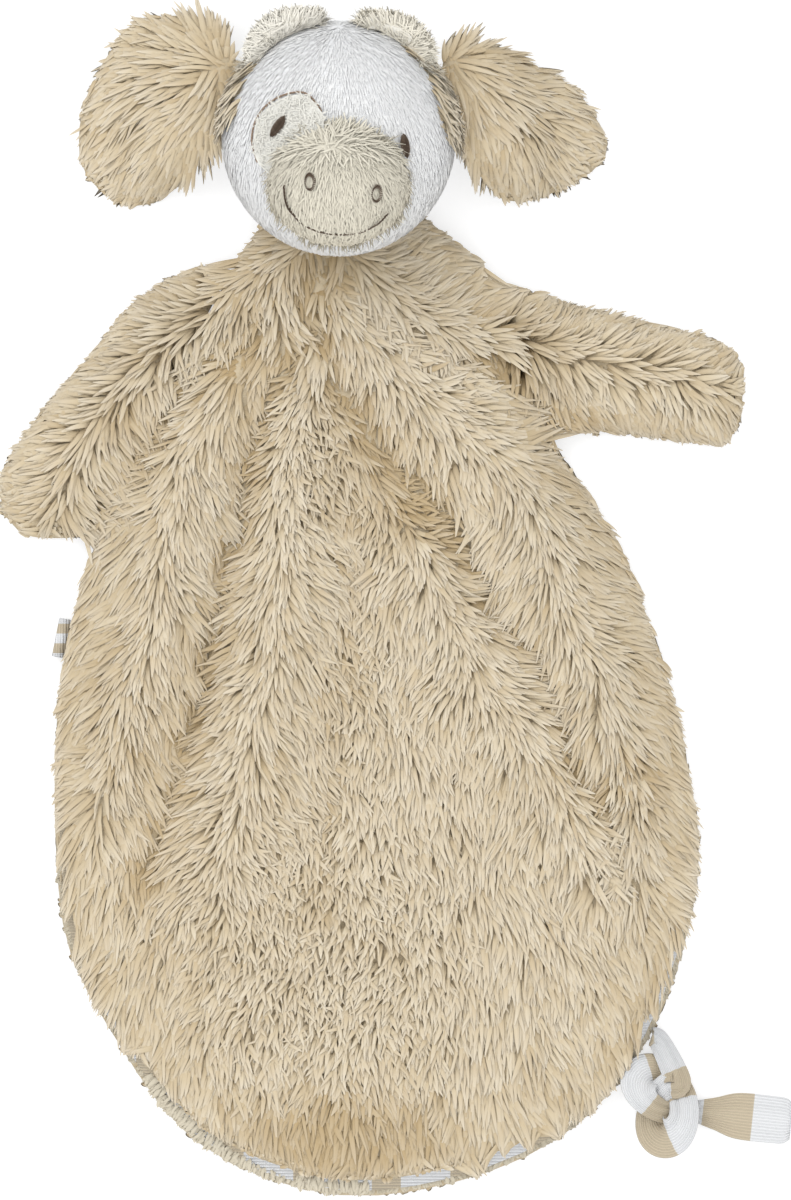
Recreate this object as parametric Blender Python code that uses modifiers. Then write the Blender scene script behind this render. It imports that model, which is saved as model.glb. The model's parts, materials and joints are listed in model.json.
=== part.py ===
"""Plush animal comfort blanket with a stuffed head, floppy ears and arms, a lined
blanket body and a knotted jersey tie. Lies on its back, +Y towards the head,
+Z up, origin on the back face under the middle of the blanket."""

import math

import bmesh
import bpy
from mathutils import Matrix, Vector

MM = 0.001

# Fits
GAP = 0.3 * MM
TABLE_GAP = 0.2 * MM
OVERRUN = 5.0 * MM

# Blanket body, four layers of cloth
BODY_WIDTH = 180.0 * MM
BODY_LENGTH = 266.0 * MM
BACK_PILE = 6.0 * MM
FRONT_PILE = 7.5 * MM
LINING = 0.8 * MM
PANEL_EDGE_SHARE = 0.12
FRONT_DIVISIONS = 28
BACK_DIVISIONS = 16
HEM_STEP = 1.6 * MM
SIDE_STEP = 0.8 * MM

# Folds pressed into the front of the blanket
FOLD_HEIGHT = 8.0 * MM
FOLD_WIDTH = 11.0 * MM
CROWN_HEIGHT = 2.5 * MM
CREASE_WIDTH = 6.0 * MM

# Head, muzzle and the pieces sewn to them
HEAD_WIDTH = 65.6 * MM
HEAD_LENGTH = 67.2 * MM
HEAD_DEPTH = 50.0 * MM
HEAD_SIDE_SHIFT = -10.8 * MM
HEAD_RISE = 29.1 * MM
HEAD_COVER = 2.6 * MM
NECK_OPENING = 16.0 * MM
MUZZLE_WIDTH = 40.0 * MM
MUZZLE_LENGTH = 35.5 * MM
MUZZLE_DEPTH = 32.0 * MM
MUZZLE_DROP = 12.4 * MM
MUZZLE_OUT = 19.0 * MM
MUZZLE_COVER = 2.2 * MM
PATCH = 1.2 * MM
THREAD = 0.8 * MM
THREAD_WIDTH = 1.1 * MM
EYE_LENGTH = 6.2 * MM
EYE_WIDTH = 2.6 * MM
NOSTRIL_LENGTH = 5.2 * MM
NOSTRIL_WIDTH = 3.1 * MM

# Horns
HORN = 9.0 * MM
HORN_COVER = 1.6 * MM
HORN_LENGTH = 19.0 * MM
HORN_HEIGHT = 8.0 * MM

# Ears
EAR_FRONT = 5.5 * MM
EAR_BACK = 4.5 * MM
EAR_ROOT_HEIGHT = 20.0 * MM
EAR_DROOP = 26.0 * MM
LEFT_EAR_REACH = 36.4 * MM
LEFT_EAR_LENGTH = 55.0 * MM
LEFT_EAR_ANGLE = 159.0
RIGHT_EAR_REACH = 36.7 * MM
RIGHT_EAR_LENGTH = 48.2 * MM
RIGHT_EAR_ANGLE = 18.0
EAR_DIVISIONS = 8

# Arms
ARM_FRONT = 6.5 * MM
ARM_BACK = 6.0 * MM
ARM_TAPER = 14.0 * MM
LEFT_ARM_REACH = 30.5 * MM
RIGHT_ARM_REACH = 57.4 * MM
ARM_DIVISIONS = 10

# A limb turns about the line of its seam; its edge is set behind that line
# and the piece that carries it stays outside the edge's sweep.
ARM_ROOT_SET = 0.3 * MM
EAR_ROOT_SET = 0.85 * MM
LIMB_EDGE = 0.6 * MM
SEAM_SWEEP = 1.15 * MM

# Drawn size of a pivot, and the distance within which a tube's points are one
PIVOT_SIZE = 6.0 * MM
WELD = 0.003 * MM

# Jersey tie with an overhand knot
TIE_WIDTH = 13.0 * MM
TIE_THICKNESS = 2.0 * MM
KNOT_LOOP = 3.4 * MM
KNOT_LIFT = 2.6 * MM
KNOT_WIDTH = 5.0 * MM
KNOT_STEPS = 26
KNOT_OPENING = 40.0
KNOT_DIRECTION = -73.0
KNOT_OPEN_ANGLE = 20.0
LOBE_SHARE = 0.70
STEM_LENGTH = 15.2 * MM
STEM_HEIGHT = 2.4 * MM
STEM_WIDTH = 5.0 * MM
TAIL_LENGTH = 29.0 * MM
TAIL_DIRECTION = -6.0
TAIL_SHARES = (0.25, 0.5, 1.0)
TIE_SIDES = 8

# Jersey loop in the side seam
TAB_LENGTH = 11.0 * MM
TAB_REACH = 3.4 * MM
TAB_CLOTH = 0.7 * MM

# Share by which an arm's grid centre leans towards its seam
ROOT_LEAN_SHARE = 0.35

# Outlines, in shares of half the width and half the length of the blanket
LEFT_SEAM_SHARES = ((-0.434, 0.985), (-0.848, 0.443))
RIGHT_SEAM_SHARES = ((0.344, 0.964), (0.515, 0.620))
BODY_RIGHT_SHARES = (
    (0.714, 0.412), (0.848, 0.202), (0.941, -0.019), (1.000, -0.271), (0.950, -0.481),
    (0.832, -0.681), (0.624, -0.849), (0.325, -0.954), (-0.051, -1.000))
BODY_LEFT_SHARES = (
    (-0.378, -0.954), (-0.624, -0.849), (-0.832, -0.649), (-0.960, -0.481),
    (-1.000, -0.271), (-0.997, -0.008), (-0.941, 0.233))
NECK_SHARES = ((-0.347, 1.060), (-0.120, 1.095), (0.106, 1.070))
BODY_CENTRE_SHARES = (0.0, -0.1)

# How quickly layers thin out to their edges, and where a limb is thin enough to fold
PANEL_SWELL_POWER = 6
FOLD_SWELL_POWER = 8
LIMB_SWELL_POWER = 3
SEAM_SWELL_SHARE = 0.15
# Share of a crest's height left at each of its ends
CREST_START_SHARE = 0.12
CREST_END_SHARE = 0.06
# Share of the front's pile that is pressed down in a crease
CREASE_SHARE = 0.45
# The hem's steps fade in from this share of the way down to the full step
HEM_START_SHARE = 0.5
HEM_RISE_SHARE = 1.2
# The tie's cross section, flat with rounded edges
FLAT_SHARE = 0.6
TALL_SHARE = 0.8

# Crests of the folds: points in shares as above, then height and width shares
FOLD_SHARES = (
    (((-0.46, 0.84), (-0.60, 0.58), (-0.69, 0.40), (-0.71, 0.10), (-0.76, -0.20)), 0.95, 1.1),
    (((-0.20, 0.74), (-0.25, 0.52), (-0.30, 0.32), (-0.36, 0.10), (-0.42, -0.25)), 0.85, 0.9),
    (((0.06, 0.50), (0.21, 0.25), (0.34, 0.07), (0.50, -0.08), (0.64, -0.27)), 0.50, 1.2),
    (((0.20, 0.76), (0.40, 0.56), (0.54, 0.36), (0.63, 0.12), (0.74, -0.12)), 1.00, 1.2))
# Creases between the folds, in the same shares
CREASE_SHARES = (
    ((-0.23, 0.79), (-0.32, 0.70), (-0.38, 0.61), (-0.42, 0.39), (-0.48, 0.29), (-0.52, 0.10),
     (-0.60, -0.08), (-0.71, -0.29)),
    ((-0.18, 0.77), (-0.05, 0.67), (0.02, 0.57), (0.13, 0.49), (0.25, 0.38), (0.37, 0.23),
     (0.46, 0.17), (0.61, -0.10)))

# Arm outlines: share along the seam, share of the reach away from it
LEFT_ARM_SHARES = (
    (0.162, 0.375), (0.324, 0.640), (0.530, 0.747), (0.748, 0.890), (0.955, 0.980),
    (1.054, 1.000), (1.195, 0.731), (1.177, 0.374), (1.100, 0.060))
RIGHT_ARM_SHARES = (
    (0.310, 0.226), (0.640, 0.642), (0.910, 0.985), (1.190, 0.970), (1.430, 0.829),
    (1.350, 0.657), (1.170, 0.346))

# Ear outlines: share of the reach out from the head, share of the length down;
# the first and last points are the ends of the seam
LEFT_EAR_SHARES = (
    (0.000, -0.170), (0.390, -0.310), (0.680, -0.270), (0.895, -0.157), (0.973, 0.052),
    (0.995, 0.275), (0.963, 0.430), (0.818, 0.611), (0.492, 0.692), (0.248, 0.631),
    (0.090, 0.474), (0.050, 0.294), (0.000, 0.170))
RIGHT_EAR_SHARES = (
    (0.000, -0.290), (0.294, -0.294), (0.541, -0.159), (0.831, 0.065), (0.995, 0.320),
    (1.000, 0.553), (0.660, 0.652), (0.289, 0.658), (0.090, 0.564), (0.050, 0.349),
    (0.000, 0.230))

# Places on the head, in shares of half its width and half its length
PATCH_SHARES = (
    (-0.13, 0.24), (-0.25, 0.38), (-0.37, 0.40), (-0.54, 0.34), (-0.67, 0.21),
    (-0.72, 0.02), (-0.67, -0.18), (-0.45, -0.30), (-0.10, -0.25))
PATCH_ARC_SHARES = (
    (-0.13, 0.24), (-0.25, 0.38), (-0.37, 0.40), (-0.54, 0.34), (-0.67, 0.21),
    (-0.72, 0.02), (-0.67, -0.18))
LEFT_EYE_SHARES = (-0.48, 0.125)
LEFT_EYE_TILT = 52.0
RIGHT_EYE_SHARES = (0.555, -0.033)
RIGHT_EYE_TILT = 95.0

# Places on the muzzle, in shares of half its width and half its length
LEFT_NOSTRIL_SHARES = (-0.39, 0.05)
LEFT_NOSTRIL_TILT = 92.0
RIGHT_NOSTRIL_SHARES = (0.53, -0.14)
RIGHT_NOSTRIL_TILT = 84.0
SMILE_SHARES = (
    (-0.75, 0.00), (-0.73, -0.24), (-0.65, -0.49), (-0.52, -0.66), (-0.28, -0.79),
    (0.04, -0.84), (0.35, -0.79), (0.53, -0.65), (0.69, -0.44))

# Horn centre lines: shares of the horn's length sideways and its height
HORN_SHARES = ((0.00, -0.80), (0.02, 0.00), (0.16, 0.62), (0.45, 0.95), (0.78, 1.00))
HORN_RADIUS_SHARES = (1.00, 1.00, 0.98, 0.92, 0.86)
HORN_TIP_SHARES = ((0.18, 0.83), (0.34, 0.60), (0.43, 0.28))
LEFT_HORN_ANGLE = 132.0
RIGHT_HORN_ANGLE = 46.0

# Where the tie leaves the hem and where the loop sits in the side seam
TIE_ANGLE = -44.5
TAB_ANGLE = 157.3

BEIGE = (0.60, 0.47, 0.31, 1.0)
CREAM = (0.70, 0.64, 0.52, 1.0)
WHITE = (0.86, 0.86, 0.84, 1.0)
STONE = (0.55, 0.51, 0.40, 1.0)
BROWN = (0.09, 0.065, 0.045, 1.0)
JERSEY = (0.78, 0.72, 0.62, 1.0)
WADDING = (0.90, 0.90, 0.88, 1.0)

HALF_WIDTH = BODY_WIDTH / 2
HALF_LENGTH = BODY_LENGTH / 2
HEAD_HALF = Vector((HEAD_WIDTH, HEAD_LENGTH, HEAD_DEPTH)) / 2
HEAD_CENTRE = Vector((HEAD_SIDE_SHIFT, HALF_LENGTH + HEAD_RISE, HEAD_DEPTH / 2 + TABLE_GAP))
MUZZLE_HALF = Vector((MUZZLE_WIDTH, MUZZLE_LENGTH, MUZZLE_DEPTH)) / 2
MUZZLE_CENTRE = HEAD_CENTRE + Vector((0, -MUZZLE_DROP, MUZZLE_OUT))


def make_collection(name):
    collection = bpy.data.collections.new(name)
    bpy.context.scene.collection.children.link(collection)
    return collection


def make_material(name, colour, roughness):
    material = bpy.data.materials.new(name)
    material.use_nodes = True
    shader = material.node_tree.nodes["Principled BSDF"]
    shader.inputs["Base Color"].default_value = colour
    shader.inputs["Roughness"].default_value = roughness
    shader.inputs["Metallic"].default_value = 0.0
    return material


def body_point(shares):
    return Vector((shares[0] * HALF_WIDTH, shares[1] * HALF_LENGTH))


def smooth_step(value):
    value = min(1.0, max(0.0, value))
    return value * value * (3 - 2 * value)


def curve_through(before, start, end, after, share):
    """One point of a Catmull-Rom curve between start and end."""
    square, cube = share * share, share * share * share
    return 0.5 * (2 * start + (end - before) * share
                  + (2 * before - 5 * start + 4 * end - after) * square
                  + (3 * start - before - 3 * end + after) * cube)


def open_curve(points, steps):
    """A smooth curve through all the points, with steps stretches between each two."""
    padded = [2 * points[0] - points[1]] + points + [2 * points[-1] - points[-2]]
    curve = []
    for index in range(len(points) - 1):
        stretch = padded[index:index + 4]
        curve += [curve_through(*stretch, step / steps) for step in range(steps)]
    return curve + [points[-1]]


class Outline:
    """A closed edge seen from one centre: smooth runs joined by straight seams."""

    def __init__(self, centre, runs, steps=10):
        self.centre = centre
        edge = []
        for run in runs:
            edge += open_curve(run, steps)
        self.edge = edge

    def reach(self, angle):
        """Distance from the centre to the edge in one direction."""
        direction = Vector((math.cos(angle), math.sin(angle)))
        best = 0.0
        for start, end in zip(self.edge, self.edge[1:] + self.edge[:1]):
            first, along = start - self.centre, end - start
            area = direction.cross(along)
            if abs(area) < 1e-12:
                continue
            distance, share = first.cross(along) / area, first.cross(direction) / area
            if -1e-6 <= share <= 1 + 1e-6 and distance > best:
                best = distance
        return best


def square_to_disc(x, y):
    return x * math.sqrt(1 - y * y / 2), y * math.sqrt(1 - x * x / 2)


def split_from_middle(shape):
    """Cuts a grid's squares along the diagonals that run out from its middle."""
    for sign, method in ((1, "FIXED"), (-1, "ALTERNATE")):
        faces = [face for face in shape.faces if len(face.verts) == 4
                 and face.calc_center_median().x * face.calc_center_median().y * sign > 0]
        bmesh.ops.triangulate(shape, faces=faces, quad_method=method)


def soft_sheet(name, outline, divisions, base, thickness, swell, edge_share, upward, inset=None):
    """A padded sheet: a grid fitted to the outline, given its thickness by Solidify."""
    mesh = bpy.data.meshes.new(name)
    shape = bmesh.new()
    bmesh.ops.create_grid(shape, x_segments=divisions, y_segments=divisions, size=1)
    split_from_middle(shape)
    weights = []
    for vertex in shape.verts:
        across, along = square_to_disc(vertex.co.x, vertex.co.y)
        share, angle = math.hypot(across, along), math.atan2(along, across)
        reach = outline.reach(angle)
        distance = share * (reach - (inset(angle) if inset else 0))
        place = outline.centre + distance * Vector((math.cos(angle), math.sin(angle)))
        vertex.co = (place.x, place.y, base(place, distance / reach))
        weights.append(swell(place, share))
    shape.to_mesh(mesh)
    shape.free()
    sheet = bpy.data.objects.new(name, mesh)
    PARTS.objects.link(sheet)
    group = sheet.vertex_groups.new(name="swell")
    for index, weight in enumerate(weights):
        group.add([index], weight, "REPLACE")
    solidify = sheet.modifiers.new("thickness", "SOLIDIFY")
    solidify.thickness = thickness
    solidify.offset = 1.0 if upward else -1.0
    solidify.vertex_group = group.name
    solidify.thickness_vertex_group = edge_share
    return sheet


def thickness_at(thickness, edge_share, weight):
    return thickness * (edge_share + (1 - edge_share) * weight)


# Blanket

def seam_ends(shares):
    return body_point(shares[0]), body_point(shares[1])


def outward_from(ends, side):
    along = (ends[1] - ends[0]).normalized()
    return Vector((-along.y, along.x)) * side


def body_outline():
    """The blanket's edge, straight and drawn back along both arm seams."""
    left, right = seam_ends(LEFT_SEAM_SHARES), seam_ends(RIGHT_SEAM_SHARES)
    back_left = -SEAM_SWEEP * outward_from(left, -1)
    back_right = -SEAM_SWEEP * outward_from(right, 1)
    neck = [body_point(shares) for shares in NECK_SHARES]
    sides = [body_point(shares) for shares in BODY_RIGHT_SHARES + BODY_LEFT_SHARES]
    return Outline(body_point(BODY_CENTRE_SHARES), [
        [left[0] + back_left] + neck + [right[0] + back_right],
        [right[1] + back_right] + sides + [left[1] + back_left]])


def panel_swell(place, share):
    return 1 - share ** PANEL_SWELL_POWER


def nearest_on(line_shares, place):
    """Distance from a place to a line, and how far along the line it is."""
    line = [body_point(shares) for shares in line_shares]
    nearest = math.inf
    travel = 0.0
    count = len(line) - 1
    for index in range(count):
        start, end = line[index], line[index + 1]
        along = end - start
        share = min(1.0, max(0.0, (place - start).dot(along) / along.length_squared))
        distance = (place - start - share * along).length
        if distance < nearest:
            nearest = distance
            travel = (index + share) / count
    return nearest, travel


def fold_height(place):
    """Height that the pressed folds add to the front of the blanket."""
    height = 0.0
    along_share = 1 - CREST_START_SHARE - CREST_END_SHARE
    for crest_shares, height_share, width_share in FOLD_SHARES:
        nearest, travel = nearest_on(crest_shares, place)
        fade = math.sin(math.pi * (CREST_START_SHARE + along_share * travel))
        width = FOLD_WIDTH * width_share
        height += FOLD_HEIGHT * height_share * fade * math.exp(-(nearest / width) ** 2)
    return height


def front_swell(place, share):
    """The front's pile: full in the middle, thin at the hem and pressed down in the creases."""
    nearest = min(nearest_on(shares, place)[0] for shares in CREASE_SHARES)
    return panel_swell(place, share) * (1 - CREASE_SHARE * math.exp(-(nearest / CREASE_WIDTH) ** 2))


def back_top(place, share):
    return thickness_at(BACK_PILE, PANEL_EDGE_SHARE, panel_swell(place, share))


def front_base(place, share):
    crown = CROWN_HEIGHT * (1 - share ** 2)
    return (back_top(place, share) + 3 * GAP + 2 * LINING
            + (crown + fold_height(place)) * (1 - share ** FOLD_SWELL_POWER))


def hem_inset(step):
    """How far a layer stops short of the back panel's edge, most at the bottom hem."""
    def inset(angle):
        low = smooth_step(HEM_START_SHARE - HEM_RISE_SHARE * math.sin(angle))
        return SIDE_STEP * (1 - low) * (step > 0) + step * HEM_STEP * low
    return inset


def make_blanket(outline):
    plush = make_material("beige_plush", BEIGE, 0.95)
    jersey = make_material("striped_jersey", JERSEY, 0.9)
    back = soft_sheet("back_panel", outline, BACK_DIVISIONS, lambda place, share: 0.0,
                      BACK_PILE, panel_swell, PANEL_EDGE_SHARE, True)
    back_lining = soft_sheet("back_lining", outline, BACK_DIVISIONS,
                             lambda place, share: back_top(place, share) + GAP,
                             LINING, lambda place, share: 1.0, 1.0, True, hem_inset(1))
    front_lining = soft_sheet("front_lining", outline, FRONT_DIVISIONS,
                              lambda place, share: front_base(place, share) - GAP,
                              LINING, lambda place, share: 1.0, 1.0, False, hem_inset(3))
    front = soft_sheet("front_panel", outline, FRONT_DIVISIONS, front_base,
                       FRONT_PILE, front_swell, PANEL_EDGE_SHARE, True, hem_inset(3))
    for sheet, material in ((back, plush), (front, plush),
                            (back_lining, jersey), (front_lining, jersey)):
        sheet.data.materials.append(material)
        cut(sheet, ellipsoid("neck_seat_" + sheet.name, HEAD_CENTRE, HEAD_HALF, GAP))
        finish(sheet)


# Solids and cuts

def ellipsoid(name, centre, half, grow, segments=24, rings=14, keep=False):
    mesh = bpy.data.meshes.new(name)
    shape = bmesh.new()
    bmesh.ops.create_uvsphere(shape, u_segments=segments, v_segments=rings, radius=1)
    size = Vector((half.x + grow, half.y + grow, half.z + grow))
    bmesh.ops.transform(shape, matrix=Matrix.Diagonal(size.to_4d()), verts=shape.verts)
    shape.to_mesh(mesh)
    shape.free()
    solid = bpy.data.objects.new(name, mesh)
    solid.location = centre
    (PARTS if keep else CUTTERS).objects.link(solid)
    if not keep:
        hide_cutter(solid)
    return solid


def hide_cutter(cutter):
    cutter.hide_render = True
    cutter.display_type = "WIRE"


def cut(target, cutter, operation="DIFFERENCE"):
    boolean = target.modifiers.new(cutter.name, "BOOLEAN")
    boolean.operation = operation
    boolean.solver = "EXACT"
    boolean.object = cutter


def finish(target):
    target.data.shade_smooth()


def prism(name, points, low, high, keep=False):
    """A straight block over a flat outline, between two heights."""
    mesh = bpy.data.meshes.new(name)
    shape = bmesh.new()
    ring = [shape.verts.new((point.x, point.y, low)) for point in points]
    face = shape.faces.new(ring)
    lifted = bmesh.ops.extrude_face_region(shape, geom=[face])
    top = [item for item in lifted["geom"] if isinstance(item, bmesh.types.BMVert)]
    bmesh.ops.translate(shape, vec=(0, 0, high - low), verts=top)
    bmesh.ops.recalc_face_normals(shape, faces=shape.faces)
    shape.to_mesh(mesh)
    shape.free()
    block = bpy.data.objects.new(name, mesh)
    (PARTS if keep else CUTTERS).objects.link(block)
    if not keep:
        hide_cutter(block)
    return block


def oval(centre, length, width, tilt, count=14):
    turn = math.radians(tilt)
    along = Vector((math.cos(turn), math.sin(turn)))
    across = Vector((-along.y, along.x))
    return [centre + along * (length / 2 * math.cos(2 * math.pi * step / count))
            + across * (width / 2 * math.sin(2 * math.pi * step / count))
            for step in range(count)]


def band(points, width):
    """The outline of a line of thread that follows the points."""
    left, right = [], []
    last = len(points) - 1
    for index, point in enumerate(points):
        along = (points[min(index + 1, last)] - points[max(index - 1, 0)]).normalized()
        across = Vector((-along.y, along.x)) * (width / 2)
        left.append(point + across)
        right.append(point - across)
    return left + right[::-1]


def onlay(name, points, centre, half, lift, thickness, material):
    """A flat shape laid on a rounded one: the outline's block between two skins."""
    low = centre.z
    piece = prism(name, points, low, centre.z + half.z + OVERRUN, keep=True)
    outer = ellipsoid(name + "_outer", centre, half, lift + thickness)
    inner = ellipsoid(name + "_inner", centre, half, lift)
    cut(piece, outer, "INTERSECT")
    cut(piece, inner)
    piece.data.materials.append(material)
    return piece


def on_head(shares):
    return Vector((HEAD_CENTRE.x + shares[0] * HEAD_HALF.x, HEAD_CENTRE.y + shares[1] * HEAD_HALF.y))


def on_muzzle(shares):
    return Vector((MUZZLE_CENTRE.x + shares[0] * MUZZLE_HALF.x,
                   MUZZLE_CENTRE.y + shares[1] * MUZZLE_HALF.y))


# Head

def neck_opening():
    mesh = bpy.data.meshes.new("neck_opening")
    shape = bmesh.new()
    bmesh.ops.create_cone(shape, cap_ends=True, segments=20, radius1=NECK_OPENING / 2,
                          radius2=NECK_OPENING / 2, depth=HEAD_LENGTH / 2)
    shape.to_mesh(mesh)
    shape.free()
    opening = bpy.data.objects.new("neck_opening", mesh)
    opening.rotation_euler = (math.radians(90), 0, 0)
    opening.location = HEAD_CENTRE - Vector((0, HEAD_LENGTH / 2, 0))
    CUTTERS.objects.link(opening)
    hide_cutter(opening)
    return opening


def make_head():
    white = make_material("white_plush", WHITE, 0.95)
    wadding = make_material("wadding", WADDING, 1.0)
    cover = ellipsoid("head_cover", HEAD_CENTRE, HEAD_HALF, 0, keep=True)
    cut(cover, ellipsoid("head_hollow", HEAD_CENTRE, HEAD_HALF, -HEAD_COVER))
    cut(cover, neck_opening())
    cover.data.materials.append(white)
    finish(cover)
    filling = ellipsoid("head_filling", HEAD_CENTRE, HEAD_HALF, -HEAD_COVER - GAP,
                        keep=True)
    filling.data.materials.append(wadding)
    finish(filling)


def make_muzzle():
    stone = make_material("muzzle_plush", STONE, 0.95)
    wadding = make_material("muzzle_wadding", WADDING, 1.0)
    cover = ellipsoid("muzzle_cover", MUZZLE_CENTRE, MUZZLE_HALF, 0, keep=True)
    cut(cover, ellipsoid("muzzle_hollow", MUZZLE_CENTRE, MUZZLE_HALF, -MUZZLE_COVER))
    cut(cover, ellipsoid("muzzle_seat", HEAD_CENTRE, HEAD_HALF, GAP))
    cover.data.materials.append(stone)
    finish(cover)
    filling = ellipsoid("muzzle_filling", MUZZLE_CENTRE, MUZZLE_HALF, -MUZZLE_COVER - GAP,
                        keep=True)
    cut(filling, ellipsoid("filling_seat", HEAD_CENTRE, HEAD_HALF, GAP))
    filling.data.materials.append(wadding)
    finish(filling)


def make_face():
    cream = make_material("patch_plush", CREAM, 0.95)
    thread = make_material("brown_thread", BROWN, 0.7)
    patch_edge = [on_head(shares) for shares in PATCH_SHARES]
    patch = onlay("eye_patch", open_curve(patch_edge, 3), HEAD_CENTRE, HEAD_HALF, GAP, PATCH, cream)
    cut(patch, ellipsoid("patch_muzzle_seat", MUZZLE_CENTRE, MUZZLE_HALF, GAP))
    arc = open_curve([on_head(shares) for shares in PATCH_ARC_SHARES], 3)
    middle = on_head((0, 0))
    outward = PATCH + GAP
    ring = [point + (point - middle).normalized() * outward for point in arc]
    outline = onlay("patch_outline", band(ring, THREAD_WIDTH), HEAD_CENTRE, HEAD_HALF,
                    GAP, THREAD, thread)
    cut(outline, ellipsoid("arc_muzzle_seat", MUZZLE_CENTRE, MUZZLE_HALF, GAP))
    cut(outline, prism("arc_patch_seat", grown(open_curve(patch_edge, 3), GAP),
                       HEAD_CENTRE.z, HEAD_CENTRE.z + HEAD_HALF.z + OVERRUN))
    onlay("eye_left", oval(on_head(LEFT_EYE_SHARES), EYE_LENGTH, EYE_WIDTH, LEFT_EYE_TILT),
          HEAD_CENTRE, HEAD_HALF, PATCH + 2 * GAP, THREAD, thread)
    onlay("eye_right", oval(on_head(RIGHT_EYE_SHARES), EYE_LENGTH, EYE_WIDTH, RIGHT_EYE_TILT),
          HEAD_CENTRE, HEAD_HALF, GAP, THREAD, thread)
    nostrils = (("nostril_left", LEFT_NOSTRIL_SHARES, LEFT_NOSTRIL_TILT),
                ("nostril_right", RIGHT_NOSTRIL_SHARES, RIGHT_NOSTRIL_TILT))
    for name, shares, tilt in nostrils:
        onlay(name, oval(on_muzzle(shares), NOSTRIL_LENGTH, NOSTRIL_WIDTH, tilt),
              MUZZLE_CENTRE, MUZZLE_HALF, GAP, THREAD, thread)
    smile = open_curve([on_muzzle(shares) for shares in SMILE_SHARES], 3)
    onlay("mouth_line", band(smile, THREAD_WIDTH), MUZZLE_CENTRE, MUZZLE_HALF,
          GAP, THREAD, thread)


def grown(points, distance):
    """A closed outline moved outwards by a distance."""
    middle = sum(points, Vector((0, 0))) / len(points)
    return [point + (point - middle).normalized() * distance for point in points]


# Horns

def tube(name, points, radii, keep=False):
    """A round tube along points, made a mesh with welded caps."""
    curve = bpy.data.curves.new(name, "CURVE")
    curve.dimensions = "3D"
    curve.bevel_depth = 1.0
    curve.bevel_resolution = 2
    curve.use_fill_caps = True
    spline = curve.splines.new("POLY")
    spline.points.add(len(points) - 1)
    for spot, point, radius in zip(spline.points, points, radii):
        spot.co = (*point, 1)
        spot.radius = radius
    guide = bpy.data.objects.new(name + "_line", curve)
    CUTTERS.objects.link(guide)
    bpy.context.view_layer.update()
    depsgraph = bpy.context.evaluated_depsgraph_get()
    mesh = bpy.data.meshes.new_from_object(guide.evaluated_get(depsgraph))
    shape = bmesh.new()
    shape.from_mesh(mesh)
    bmesh.ops.remove_doubles(shape, verts=shape.verts, dist=WELD)
    bmesh.ops.recalc_face_normals(shape, faces=shape.faces)
    shape.to_mesh(mesh)
    shape.free()
    mesh.name = name
    solid = bpy.data.objects.new(name, mesh)
    solid.matrix_world = guide.matrix_world
    bpy.data.objects.remove(guide)
    (PARTS if keep else CUTTERS).objects.link(solid)
    if not keep:
        hide_cutter(solid)
    return solid


def horn_line(angle, side):
    """Centre line of a horn that leaves the head and curls towards its middle."""
    turn = math.radians(angle)
    root = HEAD_CENTRE + Vector((HEAD_HALF.x * math.cos(turn), HEAD_HALF.y * math.sin(turn), HORN / 2))
    points = [root + Vector((side * shares[0] * HORN_LENGTH, shares[1] * HORN_HEIGHT, 0))
              for shares in HORN_SHARES]
    return points


def horn_tube(name, line, radius, keep):
    """The horn's tube with a rounded tip."""
    points = open_curve(line, 2)
    radii = []
    for index in range(len(points)):
        travel = index / (len(points) - 1) * (len(HORN_RADIUS_SHARES) - 1)
        low = min(int(travel), len(HORN_RADIUS_SHARES) - 2)
        share = travel - low
        radii.append(radius * (HORN_RADIUS_SHARES[low] * (1 - share)
                               + HORN_RADIUS_SHARES[low + 1] * share))
    ahead = (points[-1] - points[-2]).normalized()
    tip, blunt = points[-1], radii[-1]
    for forward, radius_share in HORN_TIP_SHARES:
        points.append(tip + ahead * (blunt * 2 * forward))
        radii.append(blunt * radius_share)
    return tube(name, points, radii, keep)


def make_horns():
    cream = make_material("horn_plush", CREAM, 0.95)
    wadding = make_material("horn_wadding", WADDING, 1.0)
    for side_name, angle, side in (("left", LEFT_HORN_ANGLE, 1), ("right", RIGHT_HORN_ANGLE, -1)):
        line = horn_line(angle, side)
        name = "horn_" + side_name
        cover = horn_tube(name, line, HORN / 2, True)
        cut(cover, horn_tube(name + "_hollow", line, HORN / 2 - HORN_COVER, False))
        cut(cover, ellipsoid(name + "_seat", HEAD_CENTRE, HEAD_HALF, GAP))
        cover.data.materials.append(cream)
        filling = horn_tube(name + "_filling", line, HORN / 2 - HORN_COVER - GAP, True)
        cut(filling, ellipsoid(name + "_filling_seat", HEAD_CENTRE, HEAD_HALF, GAP))
        filling.data.materials.append(wadding)
        for piece in (cover, filling):
            finish(piece)


# Limbs

def limb_swell(seam, outward, taper):
    """Swells to the middle, and rises slowly from the seam so the limb can fold."""
    def swell(place, share):
        away = (place - seam).dot(outward)
        rise = smooth_step(SEAM_SWELL_SHARE + (1 - SEAM_SWELL_SHARE) * away / taper)
        return (1 - share ** LIMB_SWELL_POWER) * rise
    return swell


def limb(name, outline, divisions, base, front, back, swell, plush, owner):
    """Two plush layers of a limb, face to face, that turn with their seam."""
    def middle(place, share):
        lift = thickness_at(back, LIMB_EDGE / back, swell(place, share))
        return base(place) + TABLE_GAP + lift

    layers = (
        (name + "_back", middle, back, False),
        (name + "_front", lambda place, share: middle(place, share) + GAP, front, True))
    for layer_name, layer_base, thickness, upward in layers:
        sheet = soft_sheet(layer_name, outline, divisions, layer_base, thickness, swell,
                           LIMB_EDGE / thickness, upward)
        sheet.data.materials.append(plush)
        hang_on(sheet, owner)
        finish(sheet)


def hinge_empty(name, place):
    pivot = bpy.data.objects.new(name, None)
    pivot.location = place
    pivot.empty_display_size = PIVOT_SIZE
    PARTS.objects.link(pivot)
    return pivot


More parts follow.
